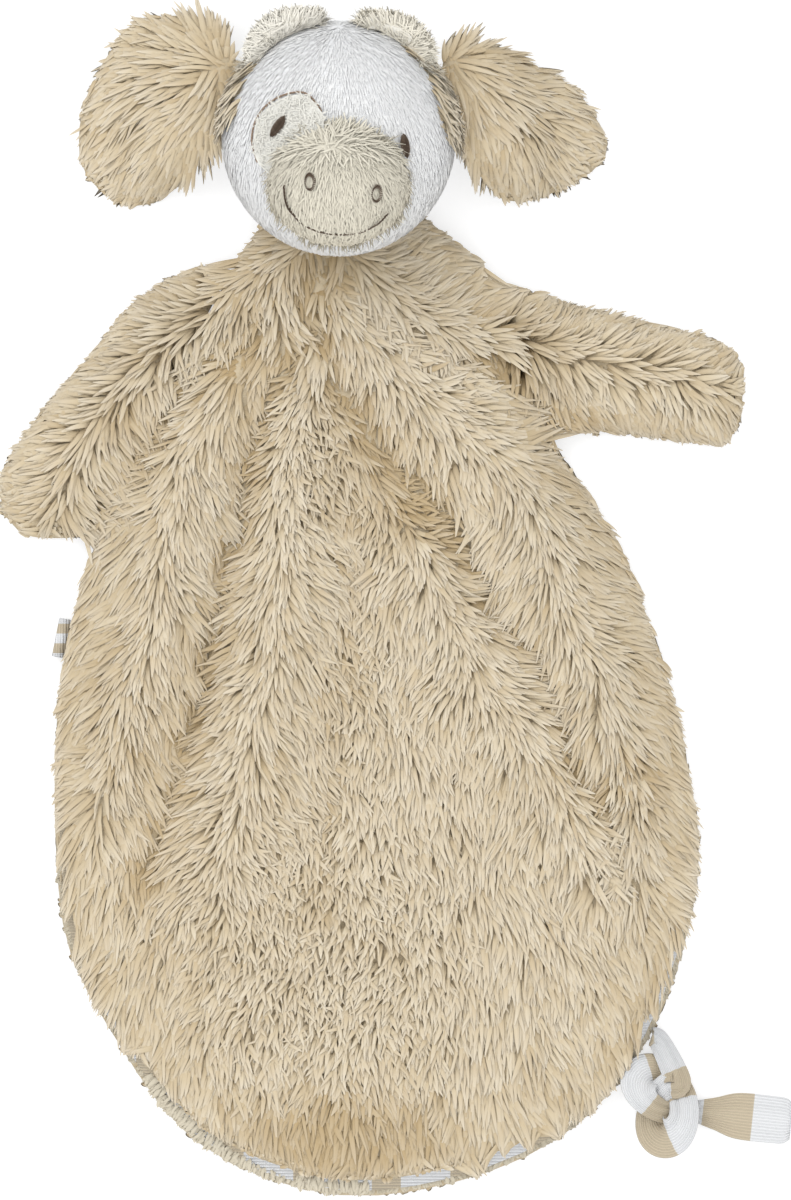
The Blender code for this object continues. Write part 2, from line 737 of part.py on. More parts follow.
def hang_on(piece, pivot):
    """Parents a piece to its pivot and leaves it where it is."""
    bpy.context.view_layer.update()
    piece.parent = pivot
    piece.matrix_parent_inverse = pivot.matrix_world.inverted()


def make_arm(name, seam_shares, arm_shares, reach, side):
    top, bottom = seam_ends(seam_shares)
    outward = outward_from((top, bottom), side)
    along = bottom - top
    set_back = -ARM_ROOT_SET * outward
    edge = [top + along * shares[0] + outward * (reach * shares[1]) for shares in arm_shares]
    middle = sum(edge, Vector((0, 0))) / len(edge)
    middle = middle.lerp((top + bottom) / 2, ROOT_LEAN_SHARE)
    outline = Outline(middle, [[top + set_back] + edge + [bottom + set_back]])
    plush = make_material(name + "_plush", BEIGE, 0.95)
    pivot = hinge_empty(name + "_pivot", (*((top + bottom) / 2), TABLE_GAP + LIMB_EDGE + GAP / 2))
    limb(name, outline, ARM_DIVISIONS, lambda place: 0.0, ARM_FRONT, ARM_BACK,
         limb_swell(top, outward, ARM_TAPER), plush, pivot)


def make_ear(name, angle, ear_shares, reach, length, side):
    turn = math.radians(angle)
    outward = Vector((math.cos(turn), math.sin(turn)))
    down = Vector((outward.y, -outward.x)) * side
    height = EAR_ROOT_HEIGHT + TABLE_GAP + LIMB_EDGE + GAP / 2
    level = (height - HEAD_CENTRE.z) / HEAD_HALF.z
    skin = Vector((HEAD_HALF.x * outward.x, HEAD_HALF.y * outward.y)) * math.sqrt(1 - level ** 2)
    root = Vector((HEAD_CENTRE.x, HEAD_CENTRE.y)) + skin + outward * SEAM_SWEEP
    set_back = -EAR_ROOT_SET * outward
    edge = [root + outward * (reach * shares[0]) + down * (length * shares[1]) for shares in ear_shares]
    edge[0] += set_back
    edge[-1] += set_back
    middle = sum(edge, Vector((0, 0))) / len(edge)
    half_seam = length * (ear_shares[-1][1] - ear_shares[0][1]) / 2
    seam_middle = root + down * (length * (ear_shares[-1][1] + ear_shares[0][1]) / 2)

    def base(place):
        away = max(0.0, (place - seam_middle).dot(outward))
        beyond = max(0.0, abs((place - seam_middle).dot(down)) - half_seam)
        return EAR_ROOT_HEIGHT * (1 - smooth_step(math.hypot(away, beyond) / EAR_DROOP))

    plush = make_material(name + "_plush", BEIGE, 0.95)
    pivot = hinge_empty(name + "_pivot", (*seam_middle, height))
    limb(name, Outline(middle, [edge]), EAR_DIVISIONS, base, EAR_FRONT, EAR_BACK,
         limb_swell(root, outward, ARM_TAPER), plush, pivot)


# Tie and side loop

def edge_place(outline, angle):
    """A point on the blanket's edge, with the directions out of it and along it."""
    turn = math.radians(angle)
    step = math.radians(1)
    spots = []
    for near in (turn - step, turn, turn + step):
        spots.append(outline.centre + outline.reach(near) * Vector((math.cos(near), math.sin(near))))
    along = (spots[2] - spots[0]).normalized()
    return spots[1], Vector((along.y, -along.x)), along


def knot_loop(middle, open_angle):
    """An overhand knot: two thirds of the way round a trefoil, with its strands in turn
    over and under. Gives each station's place and how near it is to the end of a lobe."""
    turn = math.radians(open_angle)
    inward = Vector((-math.cos(turn), -math.sin(turn), 0))
    across = Vector((inward.y, -inward.x, 0))
    stations = []
    first, last = 180 + KNOT_OPENING, 540 - KNOT_OPENING
    for step in range(KNOT_STEPS + 1):
        way = math.radians(first + (last - first) * step / KNOT_STEPS)
        along_x = math.cos(way) - 2 * math.cos(2 * way)
        along_y = math.sin(way) + 2 * math.sin(2 * way)
        place = (middle + inward * (KNOT_LOOP * along_x) + across * (KNOT_LOOP * along_y)
                 - Vector((0, 0, KNOT_LIFT * math.sin(3 * way))))
        stations.append((place, ((1 - math.cos(3 * way)) / 2) ** 2))
    return stations


def tie_stations(start, outward):
    """Stations of the tie from the hem, round its knot and out to the end of its tail."""
    low = TABLE_GAP + TIE_THICKNESS / 2
    hang = math.radians(KNOT_DIRECTION)
    middle = Vector((start.x, start.y, low + KNOT_LIFT))
    middle += Vector((math.cos(hang), math.sin(hang), 0)) * (STEM_LENGTH + KNOT_LOOP)
    root = Vector((start.x, start.y, STEM_HEIGHT)) + Vector((*outward, 0)) * GAP
    knot = knot_loop(middle, KNOT_OPEN_ANGLE)
    route = [(root, STEM_WIDTH), (root + Vector((*outward, 0)) * (STEM_WIDTH / 2), STEM_WIDTH)]
    for place, lobe in knot:
        width = KNOT_WIDTH + (TIE_WIDTH * LOBE_SHARE - KNOT_WIDTH) * lobe
        route.append((place, width))
    away = math.radians(TAIL_DIRECTION)
    tail = Vector((math.cos(away), math.sin(away), 0))
    leaving = Vector((knot[-1][0].x, knot[-1][0].y, low))
    for share in TAIL_SHARES:
        place = leaving + tail * (TAIL_LENGTH * share)
        spread = smooth_step(share / TAIL_SHARES[1])
        route.append((place, KNOT_WIDTH + (TIE_WIDTH - KNOT_WIDTH) * spread))
    return route


def make_tie(outline):
    start, outward, along = edge_place(outline, TIE_ANGLE)
    route = tie_stations(start, outward)
    places = [place for place, width in route]
    smooth = open_curve(places, 2)
    stations = []
    for index, place in enumerate(smooth):
        before, after = smooth[max(index - 1, 0)], smooth[min(index + 1, len(smooth) - 1)]
        low = min(index // 2, len(route) - 2)
        share = index / 2 - low
        width = route[low][1] * (1 - share) + route[low + 1][1] * share
        stations.append((place, (after - before).normalized(), width))
    jersey = make_material("tie_jersey", JERSEY, 0.9)
    tie = strip("jersey_tie", stations, TIE_THICKNESS, TIE_SIDES)
    tie.data.materials.append(jersey)
    pivot = hinge_empty("jersey_tie_pivot", stations[0][0])
    hang_on(tie, pivot)
    finish(tie)


def make_side_loop(outline):
    """A folded loop of jersey that stands out of the side seam."""
    start, outward, along = edge_place(outline, TAB_ANGLE)
    tall = 2 * TAB_CLOTH + GAP
    middle = TABLE_GAP + LIMB_EDGE + tall / 2
    mesh = bpy.data.meshes.new("side_loop")
    shape = bmesh.new()
    outer = [(0, tall / 2), (TAB_REACH - tall / 2, tall / 2), (TAB_REACH - tall / 6, tall / 4),
             (TAB_REACH, 0)]
    outer += [(away, -up) for away, up in outer[-2::-1]]
    fold = GAP / 2
    inner = [(0, -fold), (TAB_REACH - tall, -fold), (TAB_REACH - tall, fold), (0, fold)]
    ring = []
    for away, up in outer + inner:
        place = start + outward * (GAP + away) - along * (TAB_LENGTH / 2)
        ring.append(shape.verts.new((place.x, place.y, middle + up)))
    face = shape.faces.new(ring)
    lifted = bmesh.ops.extrude_face_region(shape, geom=[face])
    far = [item for item in lifted["geom"] if isinstance(item, bmesh.types.BMVert)]
    bmesh.ops.translate(shape, vec=(*(along * TAB_LENGTH), 0), verts=far)
    bmesh.ops.recalc_face_normals(shape, faces=shape.faces)
    shape.to_mesh(mesh)
    shape.free()
    loop = bpy.data.objects.new("side_loop", mesh)
    PARTS.objects.link(loop)
    loop.data.materials.append(make_material("loop_jersey", JERSEY, 0.9))


def strip(name, stations, thickness, sides):
    """A flattened tube through stations of place, direction and width."""
    mesh = bpy.data.meshes.new(name)
    shape = bmesh.new()
    rings = []
    for place, ahead, width in stations:
        across = ahead.cross(Vector((0, 0, 1))).normalized()
        above = across.cross(ahead).normalized()
        ring = []
        for step in range(sides):
            turn = 2 * math.pi * (step + 0.5) / sides
            flat = math.copysign(abs(math.cos(turn)) ** FLAT_SHARE, math.cos(turn))
            tall = math.copysign(abs(math.sin(turn)) ** TALL_SHARE, math.sin(turn))
            ring.append(shape.verts.new(place + across * (width / 2 * flat)
                                        + above * (thickness / 2 * tall)))
        rings.append(ring)
    for first, second in zip(rings, rings[1:]):
        for step in range(sides):
            after = (step + 1) % sides
            shape.faces.new((first[step], first[after], second[after], second[step]))
    shape.faces.new(rings[0][::-1])
    shape.faces.new(rings[-1])
    bmesh.ops.recalc_face_normals(shape, faces=shape.faces)
    shape.to_mesh(mesh)
    shape.free()
    piece = bpy.data.objects.new(name, mesh)
    PARTS.objects.link(piece)
    return piece


PARTS = None
CUTTERS = None


def main():
    global PARTS, CUTTERS
    for old in list(bpy.data.objects):
        bpy.data.objects.remove(old, do_unlink=True)
    PARTS = make_collection("comfort_blanket")
    CUTTERS = make_collection("cutters")
    outline = body_outline()
    make_blanket(outline)
    make_head()
    make_muzzle()
    make_face()
    make_horns()
    make_ear("ear_left", LEFT_EAR_ANGLE, LEFT_EAR_SHARES, LEFT_EAR_REACH, LEFT_EAR_LENGTH, -1)
    make_ear("ear_right", RIGHT_EAR_ANGLE, RIGHT_EAR_SHARES, RIGHT_EAR_REACH, RIGHT_EAR_LENGTH, 1)
    make_arm("arm_left", LEFT_SEAM_SHARES, LEFT_ARM_SHARES, LEFT_ARM_REACH, -1)
    make_arm("arm_right", RIGHT_SEAM_SHARES, RIGHT_ARM_SHARES, RIGHT_ARM_REACH, 1)
    make_tie(outline)
    make_side_loop(outline)


main()
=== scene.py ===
import json
import math
from functools import cache, partial

import bmesh
import bpy
import numpy as np
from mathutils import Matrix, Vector
from mathutils.bvhtree import BVHTree

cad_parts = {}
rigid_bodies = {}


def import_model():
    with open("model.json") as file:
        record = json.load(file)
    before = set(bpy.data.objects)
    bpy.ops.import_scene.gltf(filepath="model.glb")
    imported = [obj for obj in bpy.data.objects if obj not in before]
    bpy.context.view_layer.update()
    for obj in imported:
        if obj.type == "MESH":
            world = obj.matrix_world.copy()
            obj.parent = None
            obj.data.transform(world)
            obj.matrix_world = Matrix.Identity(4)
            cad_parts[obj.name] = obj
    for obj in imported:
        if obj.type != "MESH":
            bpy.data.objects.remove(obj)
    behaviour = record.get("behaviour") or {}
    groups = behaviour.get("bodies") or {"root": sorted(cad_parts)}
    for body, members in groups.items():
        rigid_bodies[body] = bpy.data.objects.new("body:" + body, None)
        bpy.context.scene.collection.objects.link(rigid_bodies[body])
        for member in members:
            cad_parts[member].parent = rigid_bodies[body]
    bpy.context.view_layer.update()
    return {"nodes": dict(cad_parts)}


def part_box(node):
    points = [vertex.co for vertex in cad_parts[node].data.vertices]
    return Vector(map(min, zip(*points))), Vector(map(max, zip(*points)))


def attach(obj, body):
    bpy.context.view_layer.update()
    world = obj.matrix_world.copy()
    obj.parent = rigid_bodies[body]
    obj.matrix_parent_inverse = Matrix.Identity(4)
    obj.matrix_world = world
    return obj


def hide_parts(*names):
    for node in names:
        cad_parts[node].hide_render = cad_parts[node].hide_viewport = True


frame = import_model()

bl_info = {
    "name": "Comfort Blanket",
    "version": (1, 0, 0),
    "blender": (4, 5, 0),
    "location": "View3D > Sidebar > Comforter",
    "description": "Plush animal comfort blanket with long pile, jersey lining and a knotted tie",
    "category": "Object",
}

MM = 0.001
UV_NAME = "OFBake"

# The photograph's frame on the table, and how high the camera is above it
FRAME_CENTRE_MM = (5.04, 33.88)
FRAME_HEIGHT_MM = 336.0
VIEW_HEIGHT_MM = 6000.0
SENSOR_MM = 36.0
FLOOR_REACH, FLOOR_LEVEL = 3.0, -0.0004
FLOOR_GREY, FLOOR_GLOW, SKY_LIGHT = 0.45, 0.66, 1.05
WHITE = (1.0, 1.0, 1.0, 1.0)
# The two area lights: name, place, size and power
LIGHTS = (("key", (-0.75, 0.75, 1.25), 1.0, 7.5), ("fill", (0.35, -0.95, 0.8), 1.2, 3.4))

# Lines along which the long pile parts, from the neck down, in millimetres
PARTINGS = (
    ((-24, 132), (-38.5, 122.1), (-56.4, 108.6), (-69.9, 94.1), (-82.2, 76.2), (-88.9, 61.9)),
    ((-42.7, 97.7), (-53.1, 78.4), (-57.5, 62.7), (-60.9, 45.1), (-61.2, 33.3), (-66.5, 18.5),
     (-70.7, 6.2), (-75.5, -13.7)),
    ((-27.3, 126.3), (-27.9, 117.6), (-26.5, 110.9)),
    ((-17.2, 104.2), (-23.9, 80.6), (-26.7, 60.5), (-27.3, 40.9), (-29.3, 19.9), (-36.8, -3.9),
     (-38.5, -22.1), (-41.3, -41.7)),
    ((10.5, 50.7), (18.9, 33.9), (28.7, 11.5), (39.9, -2.5), (51.1, -19.3), (58.1, -36.1)),
    ((-14.7, 120.7), (-7.1, 109.8), (0.7, 101.9), (10.8, 94.1), (19.7, 84.8), (32.9, 76.2),
     (39.6, 69.4), (45.2, 57.7), (49.1, 40.9), (54.7, 26.6), (60.9, 19), (65.7, 0.3),
     (70.7, -19.3), (73.5, -36.1)),
    ((-4.9, 128.5), (6.3, 117.9), (20.3, 109.5), (37.1, 106.1), (51.1, 103.3), (67.9, 99.7),
     (79.1, 97.4), (90.3, 93), (100.1, 91)),
)
# Creases between the folds, each with its strength. Along them the pile is shorter and sinks, and
# its colour is darker, which is painted shade.
CREASES = (
    (((-24.5, 120.7), (-38.5, 101.9), (-47.5, 96.3), (-64.3, 80.6), (-73.2, 67.2)), 0.8),
    (((-20.6, 105.3), (-28.4, 93), (-34, 80.6), (-38.2, 51.8), (-43, 38.1), (-46.9, 12.9),
      (-53.9, -10.6), (-63.7, -38.9)), 0.9),
    (((-6.3, 66.1), (-6.9, 31.4), (-9.7, 12.9), (-13.3, -16.5), (-16.1, -50.1)), 0.35),
    (((-16.1, 101.9), (-4.9, 88.5), (1.8, 76.2), (11.6, 64.7), (22.5, 50.4), (33.5, 30),
      (41.6, 23.2), (55.3, -13.7), (62.3, -22.1)), 1.0),
    (((-16.1, 132.2), (-16.7, 120.7), (-17.2, 107.5)), 0.9),
    (((27, 106.1), (34.5, 104), (40.4, 99.4), (44.2, 92.4), (45.6, 84)), 1.0),
)
# Seams of the arms, and spots where the lining shows below the front's pile
ARM_SEAMS = (((-39.1, 131), (-76.3, 58.9)), ((31, 128.2), (46.4, 82.5)))
SHOWN_LINING = ((32, -122), (38.1, -120.1), (45.5, -116.5), (-86, -62), (74.5, -88))
# The stretch of hem where the front ends short and the back's pile shows as a fringe, the
# crescent of lining that the fringe leaves bare, and where the linings show in blocks
SHORT_HEM = ((-63.7, -103.3), (-49.7, -114.5), (-35.7, -122.9), (-21.7, -128), (-2.1, -131.3),
             (16, -129.4))
BARE_CRESCENT = ((-41.6, -116.4), (-35.7, -120.3), (-29.8, -123.4), (-23.5, -125.6))
BARE_BLOCKS = (-2.5, 19.5)
# Areas whose pile colour is darker or lighter, partly painted shade of the folds, creases and hem
# fold and partly the plush's own tan patches: middle, half width, half length, change
SHADED = (
    ((-17, 74), 12, 18, -0.18), ((-3, 83), 8, 8, -0.35), ((8, 62), 11, 12, -0.60),
    ((-66, 82), 10, 14, -0.35), ((-8, -112), 32, 15, -0.65), ((-66, 6), 18, 40, -0.16),
    ((-44, -20), 32, 84, -0.12), ((70, -14), 9, 10, -0.45), ((54, 88), 13, 5, -0.45),
    ((74, -78), 8, 16, -0.20), ((-30, 124), 16, 9, -0.25),
)
# Places where the pile stands short and upright: middle, half width, half length, share
SHORT_PILE = (((-14, -62), 40, 52, 0.6), ((-20, 76), 14, 30, 0.65), ((-8, 15), 12, 45, 0.45),
              ((8, 60), 14, 14, 0.55))

# Flat cuts of the cloth, as width and length
# Arms and ears: cut and seed, and for the ears also the middle that their pile is brushed
# out of and the line of the seam, over which it reaches
ARMS = (("arm_left", (0.045, 0.085), 21), ("arm_right", (0.065, 0.060), 31))
EARS = (
    ("ear_left", (0.045, 0.058), 41, (-42, 184), ((-43.5, 191.5), (-45.5, 172), (-47, 158))),
    ("ear_right", (0.045, 0.055), 51, (19, 184), ((20.9, 189.5), (23, 172), (24.5, 156.5))),
)
# Longer pile between each horn and ear: its line, its reach in millimetres and its seed
EAR_ROOTS = (
    ("left", ((-33, 187), (-38.5, 179), (-41, 170)), 2.4, 65),
    ("right", ((9, 189.5), (15, 184), (19, 174), (20.5, 166)), 3.2, 66),
)

# The face, in shares of half the head's or the muzzle's width and length
PATCH_ARC = ((-0.13, 0.20), (-0.25, 0.34), (-0.37, 0.36), (-0.54, 0.30), (-0.67, 0.17),
             (-0.72, -0.02), (-0.67, -0.22))
PATCH_DROP_SHARE = 0.04
SMILE = ((-0.75, 0.00), (-0.73, -0.24), (-0.65, -0.49), (-0.52, -0.66), (-0.28, -0.79),
         (0.04, -0.84), (0.35, -0.79), (0.53, -0.65), (0.69, -0.44))
# Eyes and nostrils: node, middle, tilt in degrees and height over the plush
EYES = (("eye_left", (-0.49, 0.080), 52.0, 1.9 * MM),
        ("eye_right", (0.555, -0.078), 95.0, 0.7 * MM))
NOSTRILS = (("nostril_left", (-0.39, 0.05), 92.0, 0.2 * MM),
            ("nostril_right", (0.53, -0.14), 84.0, 0.2 * MM))
EYE_LENGTH, EYE_WIDTH = 6.2 * MM, 2.6 * MM
NOSTRIL_LENGTH, NOSTRIL_WIDTH = 5.2 * MM, 3.1 * MM
MUZZLE_DEPTH = 32.0 * MM

# The tie's route, as the solid's source has it
TIE_START = Vector((76.49, -88.35, 2.4)) * MM
TIE_OUTWARD = Vector((0.8773, -0.4799, 0.0))
TIE_LOW = 1.2 * MM
KNOT_LOOP, KNOT_LIFT, KNOT_WIDTH = 3.4 * MM, 2.6 * MM, 5.0 * MM
KNOT_STEPS, KNOT_OPENING, KNOT_DIRECTION, KNOT_OPEN_ANGLE = 26, 40.0, -73.0, 20.0
STEM_LENGTH, STEM_WIDTH = 15.2 * MM, 5.0 * MM
TAIL_LENGTH, TAIL_DIRECTION, TAIL_SHARES = 29.0 * MM, -6.0, (0.25, 0.5, 1.0)
TIE_WIDTH, LOBE_WIDTH, TIE_THICKNESS = 13.0 * MM, 9.1 * MM, 2.0 * MM
TIE_FULLNESS = 3.2 * MM
TIE_AROUND = 96
RIB_PITCH = 0.85 * MM

# A tuft of long pile: steps from root to tip, and its width at even steps along it
TUFT_STEPS = (0.0, 0.3, 0.58, 0.82, 1.0)
TUFT_WIDTHS = (0.8, 1.0, 0.92, 0.66, 0.14)
THREAD_WIDTHS = (0.5, 0.95, 1.0, 0.95, 0.5)
MOST_FACES = 190_000
LEAST_TONE, MOST_TONE = 0.02, 0.98
NEIGHBOURS = [(i, j) for i in (-1, 0, 1) for j in (-1, 0, 1)]


# Shared helpers

def smooth(value):
    value = np.clip(value, 0.0, 1.0)
    return value * value * (3 - 2 * value)


def unit(vectors):
    return vectors / np.maximum(np.linalg.norm(vectors, axis=-1, keepdims=True), 1e-9)


def turned(vectors, angle):
    x, y = vectors.T
    cos, sin = np.cos(angle), np.sin(angle)
    return np.stack([x * cos - y * sin, x * sin + y * cos], 1)


def in_tone(tones):
    return np.clip(tones, LEAST_TONE, MOST_TONE)


def settings():
    return bpy.context.scene.comforter


def colours():
    return bpy.context.scene.comforter_colours


def put(target, attribute, values, kind=np.float32):
    """Sets one value or vector on each item of a mesh's collection."""
    target.foreach_set(attribute, np.asarray(values).astype(kind).ravel())


def link(body, slot, material, *pieces):
    """Puts new pieces in the scene, on their body, with their material, and returns the first."""
    for piece in pieces:
        bpy.context.scene.collection.objects.link(piece)
        piece.data.materials.append(material)
        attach(piece, body)
    return pieces[0]


def mesh_object(name, verts, faces):
    mesh = bpy.data.meshes.new(name)
    mesh.from_pydata([tuple(v) for v in verts], [], [tuple(f) for f in faces])
    mesh.update()
    return bpy.data.objects.new(name, mesh)


def node_copy(node, name):
    """A node's solid as a new piece, still without a material."""
    mesh = frame["nodes"][node].data.copy()
    mesh.materials.clear()
    return bpy.data.objects.new(name, mesh)


def close_up(obj, weld=True):
    """Turns the faces outwards and shades smooth, after welding where asked."""
    shape = bmesh.new()
    shape.from_mesh(obj.data)
    if weld:
        bmesh.ops.remove_doubles(shape, verts=shape.verts, dist=0.01 * MM)
    bmesh.ops.recalc_face_normals(shape, faces=shape.faces)
    shape.to_mesh(obj.data)
    shape.free()
    obj.data.shade_smooth()
    return obj


def places_and_normals(mesh):
    return (np.array([v.co[:] for v in mesh.vertices]),
            np.array([v.normal[:] for v in mesh.vertices]))


def grid_cells(count):
    return np.stack(np.meshgrid(*map(np.arange, count), indexing="ij"), -1).reshape(-1, 2)


def jittered(low, high, spacing, rng):
    """Points on a square grid, each moved at random within its cell."""
    cells = grid_cells(np.ceil((high - low) / spacing).astype(int))
    return low + (cells + rng.uniform(0.05, 0.95, cells.shape)) * spacing


def curve_through(points, steps):
    """A smooth curve through all the points, with steps stretches between each two."""
    points = np.array(points, float)
    padded = np.vstack([2 * points[0] - points[1], points, 2 * points[-1] - points[-2]])
    curve = []
    for index in range(len(points) - 1):
        a, b, c, d = padded[index:index + 4]
        for t in np.arange(steps) / steps:
            curve.append(0.5 * (2 * b + (c - a) * t + (2 * a - 5 * b + 4 * c - d) * t ** 2
                                + (3 * b - a - 3 * c + d) * t ** 3))
    return np.array(curve + [points[-1]])


def run_of(line):
    """The length gone along a line at each of its points."""
    return np.concatenate([[0], np.cumsum(np.linalg.norm(np.diff(line, axis=0), axis=1))])


def nearest_on(line, xy):
    """For each point: its distance to a line, the line's direction there, and the way across
    it to the point's side."""
    line = np.array(line) * MM
    best, side, along = np.full(len(xy), np.inf), np.zeros(len(xy)), np.zeros((len(xy), 2))
    for start, end in zip(line, line[1:]):
        way = end - start
        share = np.clip((xy - start) @ way / (way @ way), 0, 1)
        offset = xy - start - share[:, None] * way
        distance = np.linalg.norm(offset, axis=1)
        closer = distance < best
        best = np.where(closer, distance, best)
        cross = way[0] * offset[:, 1] - way[1] * offset[:, 0]
        side = np.where(closer, np.sign(cross), side)
        along[closer] = way / np.linalg.norm(way)
    return best, along, np.stack([-along[:, 1], along[:, 0]], 1) * side[:, None]


class Relief:
    """The upper and lower faces of some nodes as heights over a square grid, and how far
    each place is inside their edge."""

    PITCH = 1.0 * MM
    MARGIN = 14
    FAR_STEPS = 60

    def __init__(self, *names):
        verts, faces = [], []
        for name in names:
            mesh = frame["nodes"][name].data
            start = len(verts)
            verts += [v.co.copy() for v in mesh.vertices]
            faces += [[start + i for i in p.vertices] for p in mesh.polygons]
        tree = BVHTree.FromPolygons(verts, faces)
        points = np.array(verts)
        low, high = points.min(0), points.max(0)
        pitch, margin = self.PITCH, self.MARGIN
        self.low = low[:2] - margin * pitch
        count = np.ceil((high[:2] - low[:2]) / pitch).astype(int) + 2 * margin + 1
        top, bottom = np.full(count, np.nan), np.full(count, np.nan)
        above, below = high[2] + 10 * MM, low[2] - 10 * MM
        for i in range(margin, count[0] - margin + 1):
            for j in range(margin, count[1] - margin + 1):
                x, y = self.low + np.array((i, j)) * pitch
                hit = tree.ray_cast((x, y, above), (0, 0, -1))[0]
                if hit is not None:
                    top[i, j] = hit.z
                    bottom[i, j] = tree.ray_cast((x, y, below), (0, 0, 1))[0].z
        inside = ~np.isnan(top)
        self.edge = self.spread_distance(inside) - self.spread_distance(~inside)
        self.top, self.bottom = self.filled(top), self.filled(bottom)

    def spread_distance(self, inside):
        """Distance to the nearest place outside, by passing it from cell to cell."""
        distance = np.where(inside, self.FAR_STEPS * self.PITCH, 0.0)
        for _ in range(self.FAR_STEPS):
            grown = np.min([np.roll(distance, way, (0, 1)) + math.hypot(*way) * self.PITCH
                            for way in NEIGHBOURS], axis=0)
            if np.allclose(grown, distance):
                break
            distance = grown
        return distance

    def filled(self, grid):
        """The heights carried on outwards past the edge."""
        for _ in range(self.MARGIN + 4):
            near = np.array([np.roll(grid, way, (0, 1)) for way in NEIGHBOURS])
            count = (~np.isnan(near)).sum(0)
            mean = np.nansum(near, axis=0) / np.maximum(count, 1)
            grid = np.where(np.isnan(grid) & (count > 0), mean, grid)
        return np.where(np.isnan(grid), np.nanmean(grid), grid)

    def places(self):
        return self.low + grid_cells(self.top.shape) * self.PITCH

    def bridge(self, seams, reach=9 * MM):
        """Fills the groove over each seam, as long pile from both sides does."""
        joined = self.top
        for change in (np.maximum, np.minimum):
            for _ in range(int(reach / self.PITCH)):
                joined = change.reduce([joined] + [np.roll(joined, shift, axis)
                                                   for shift in (1, -1) for axis in (0, 1)])
        for seam in seams:
            near = smooth(2 - nearest_on(seam, self.places())[0] / reach).reshape(self.top.shape)
            self.top = self.top * (1 - near) + np.maximum(self.top, joined) * near
            self.edge = self.edge + 4 * MM * near * (self.edge > -0.5 * MM)
        return self

    def read(self, grid, xy):
        at = np.clip((xy - self.low) / self.PITCH, 0, np.array(grid.shape) - 1.001)
        cell = at.astype(int)
        (i, j), (fx, fy) = cell.T, (at - cell).T
        return ((grid[i, j] * (1 - fx) + grid[i + 1, j] * fx) * (1 - fy)
                + (grid[i, j + 1] * (1 - fx) + grid[i + 1, j + 1] * fx) * fy)

    def change(self, grid, xy, step):
        """How much the grid's values rise along x and along y, from a step before to one after."""
        return [self.read(grid, xy + way) - self.read(grid, xy - way) for way in np.eye(2) * step]

    def heights(self, xy):
        return self.read(self.top, xy), self.read(self.bottom, xy)

    def inward(self, xy):
        return self.read(self.edge, xy)

    def normals(self, xy, side):
        """The way the upper or the lower face looks, taken over a few millimetres."""
        step = 2.5 * self.PITCH
        rise = self.change(self.top if side > 0 else self.bottom, xy, step)
        return unit(np.stack([*(-side * part / (2 * step) for part in rise),
                              np.full(len(xy), float(side))], 1))

    def outward(self, xy):
        """The direction that leads to the nearest edge."""
        return unit(-np.stack(self.change(self.edge, xy, 1.5 * self.PITCH), 1))


reliefs = cache(Relief)


@cache
def whole_front():
    """The blanket's front with both arms, as one surface for the pile to lie on."""
    joined = Relief("front_panel", "arm_left_front", "arm_right_front").bridge(ARM_SEAMS)
    places = joined.places()
    hem = reliefs("back_panel").inward(places) + 0.2 * MM - held_back(places)
    joined.edge = np.maximum(joined.edge, hem.reshape(joined.edge.shape))
    return joined


# How the long pile lies, place by place

def downward(xy, fan):
    """Down the blanket, and a little out to both sides."""
    return unit(np.stack([fan * xy[:, 0] / (90 * MM), np.full(len(xy), -1.0)], 1))


def blanket_comb(xy):
    """The way the long pile lies on the blanket and arms: out of the partings and down."""
    total = np.zeros_like(xy)
    for line in PARTINGS:
        distance, along, across = nearest_on(line, xy)
        widest = 60 if line in (PARTINGS[0], PARTINGS[-1]) else 44
        spread = math.radians(widest) - math.radians(14) * smooth(distance / (26 * MM))
        flip = np.tanh(distance / (3.0 * MM))
        lay = np.cos(spread)[:, None] * along + (np.sin(spread) * flip)[:, None] * across
        total += lay / ((distance[:, None] / MM) ** 2 + 5 ** 2) ** 4
    low = 0.75 * smooth((-xy[:, 1] - 20 * MM) / (60 * MM))[:, None]
    return unit(unit(total) * (1 - low) + downward(xy, 0.45) * low)


def crest_comb(xy):
    """Along the nearest parting, for the tufts that cover it."""
    nearest, lay = np.full(len(xy), np.inf), np.zeros_like(xy)
    for line in PARTINGS:
        distance, along, across = nearest_on(line, xy)
        closer = distance < nearest
        nearest = np.where(closer, distance, nearest)
        lay[closer] = (along + 0.8 * np.tanh(distance / (5 * MM))[:, None] * across)[closer]
    return unit(lay)


def ridge_share(xy):
    """How near a place is to a parting, where the pile stands up."""
    nearest = np.min([nearest_on(line, xy)[0] for line in PARTINGS], axis=0)
    return np.exp(-(nearest / (3.5 * MM)) ** 2)


def crease_share(xy, reach=4.5 * MM):
    """How near a place is to a crease, by the crease's strength."""
    return np.max([strength * np.exp(-(nearest_on(line, xy)[0] / reach) ** 2)
                   for line, strength in CREASES], axis=0)


def away_from(spot, xy):
    """Distance from the middle of a spot, in shares of its half width and half length."""
    middle, width, length = spot[:3]
    return np.hypot((xy[:, 0] / MM - middle[0]) / width, (xy[:, 1] / MM - middle[1]) / length)


def short_share(xy):
    return np.max([spot[3] * smooth(1.25 - away_from(spot, xy)) for spot in SHORT_PILE], axis=0)


def place_tone(xy):
    """Darker and lighter areas of the beige plush: painted shade along the creases, and the SHADED
    areas, partly painted shade and partly the plush's own tan.
    """
    tone = -0.55 * crease_share(xy, 8.5 * MM) ** 2
    for spot in SHADED:
        tone += spot[3] * smooth(1.3 - away_from(spot, xy))
    return tone


def held_back(xy):
    """How much shorter the front's pile hangs over the hem, where the lining shows."""
    nearest = np.min([np.hypot(*(xy - np.array(spot) * MM).T) for spot in SHOWN_LINING], axis=0)
    along = smooth(2 - nearest_on(SHORT_HEM, xy)[0] / (6 * MM))
    return 7 * MM * np.maximum(along, np.exp(-(nearest / (3.5 * MM)) ** 2))


def bare_reach(xy):
    """How far inside its edge the front's pile ends beside the bare crescent."""
    return -1.8 * MM * np.exp(-(nearest_on(BARE_CRESCENT, xy)[0] / (5 * MM)) ** 2)


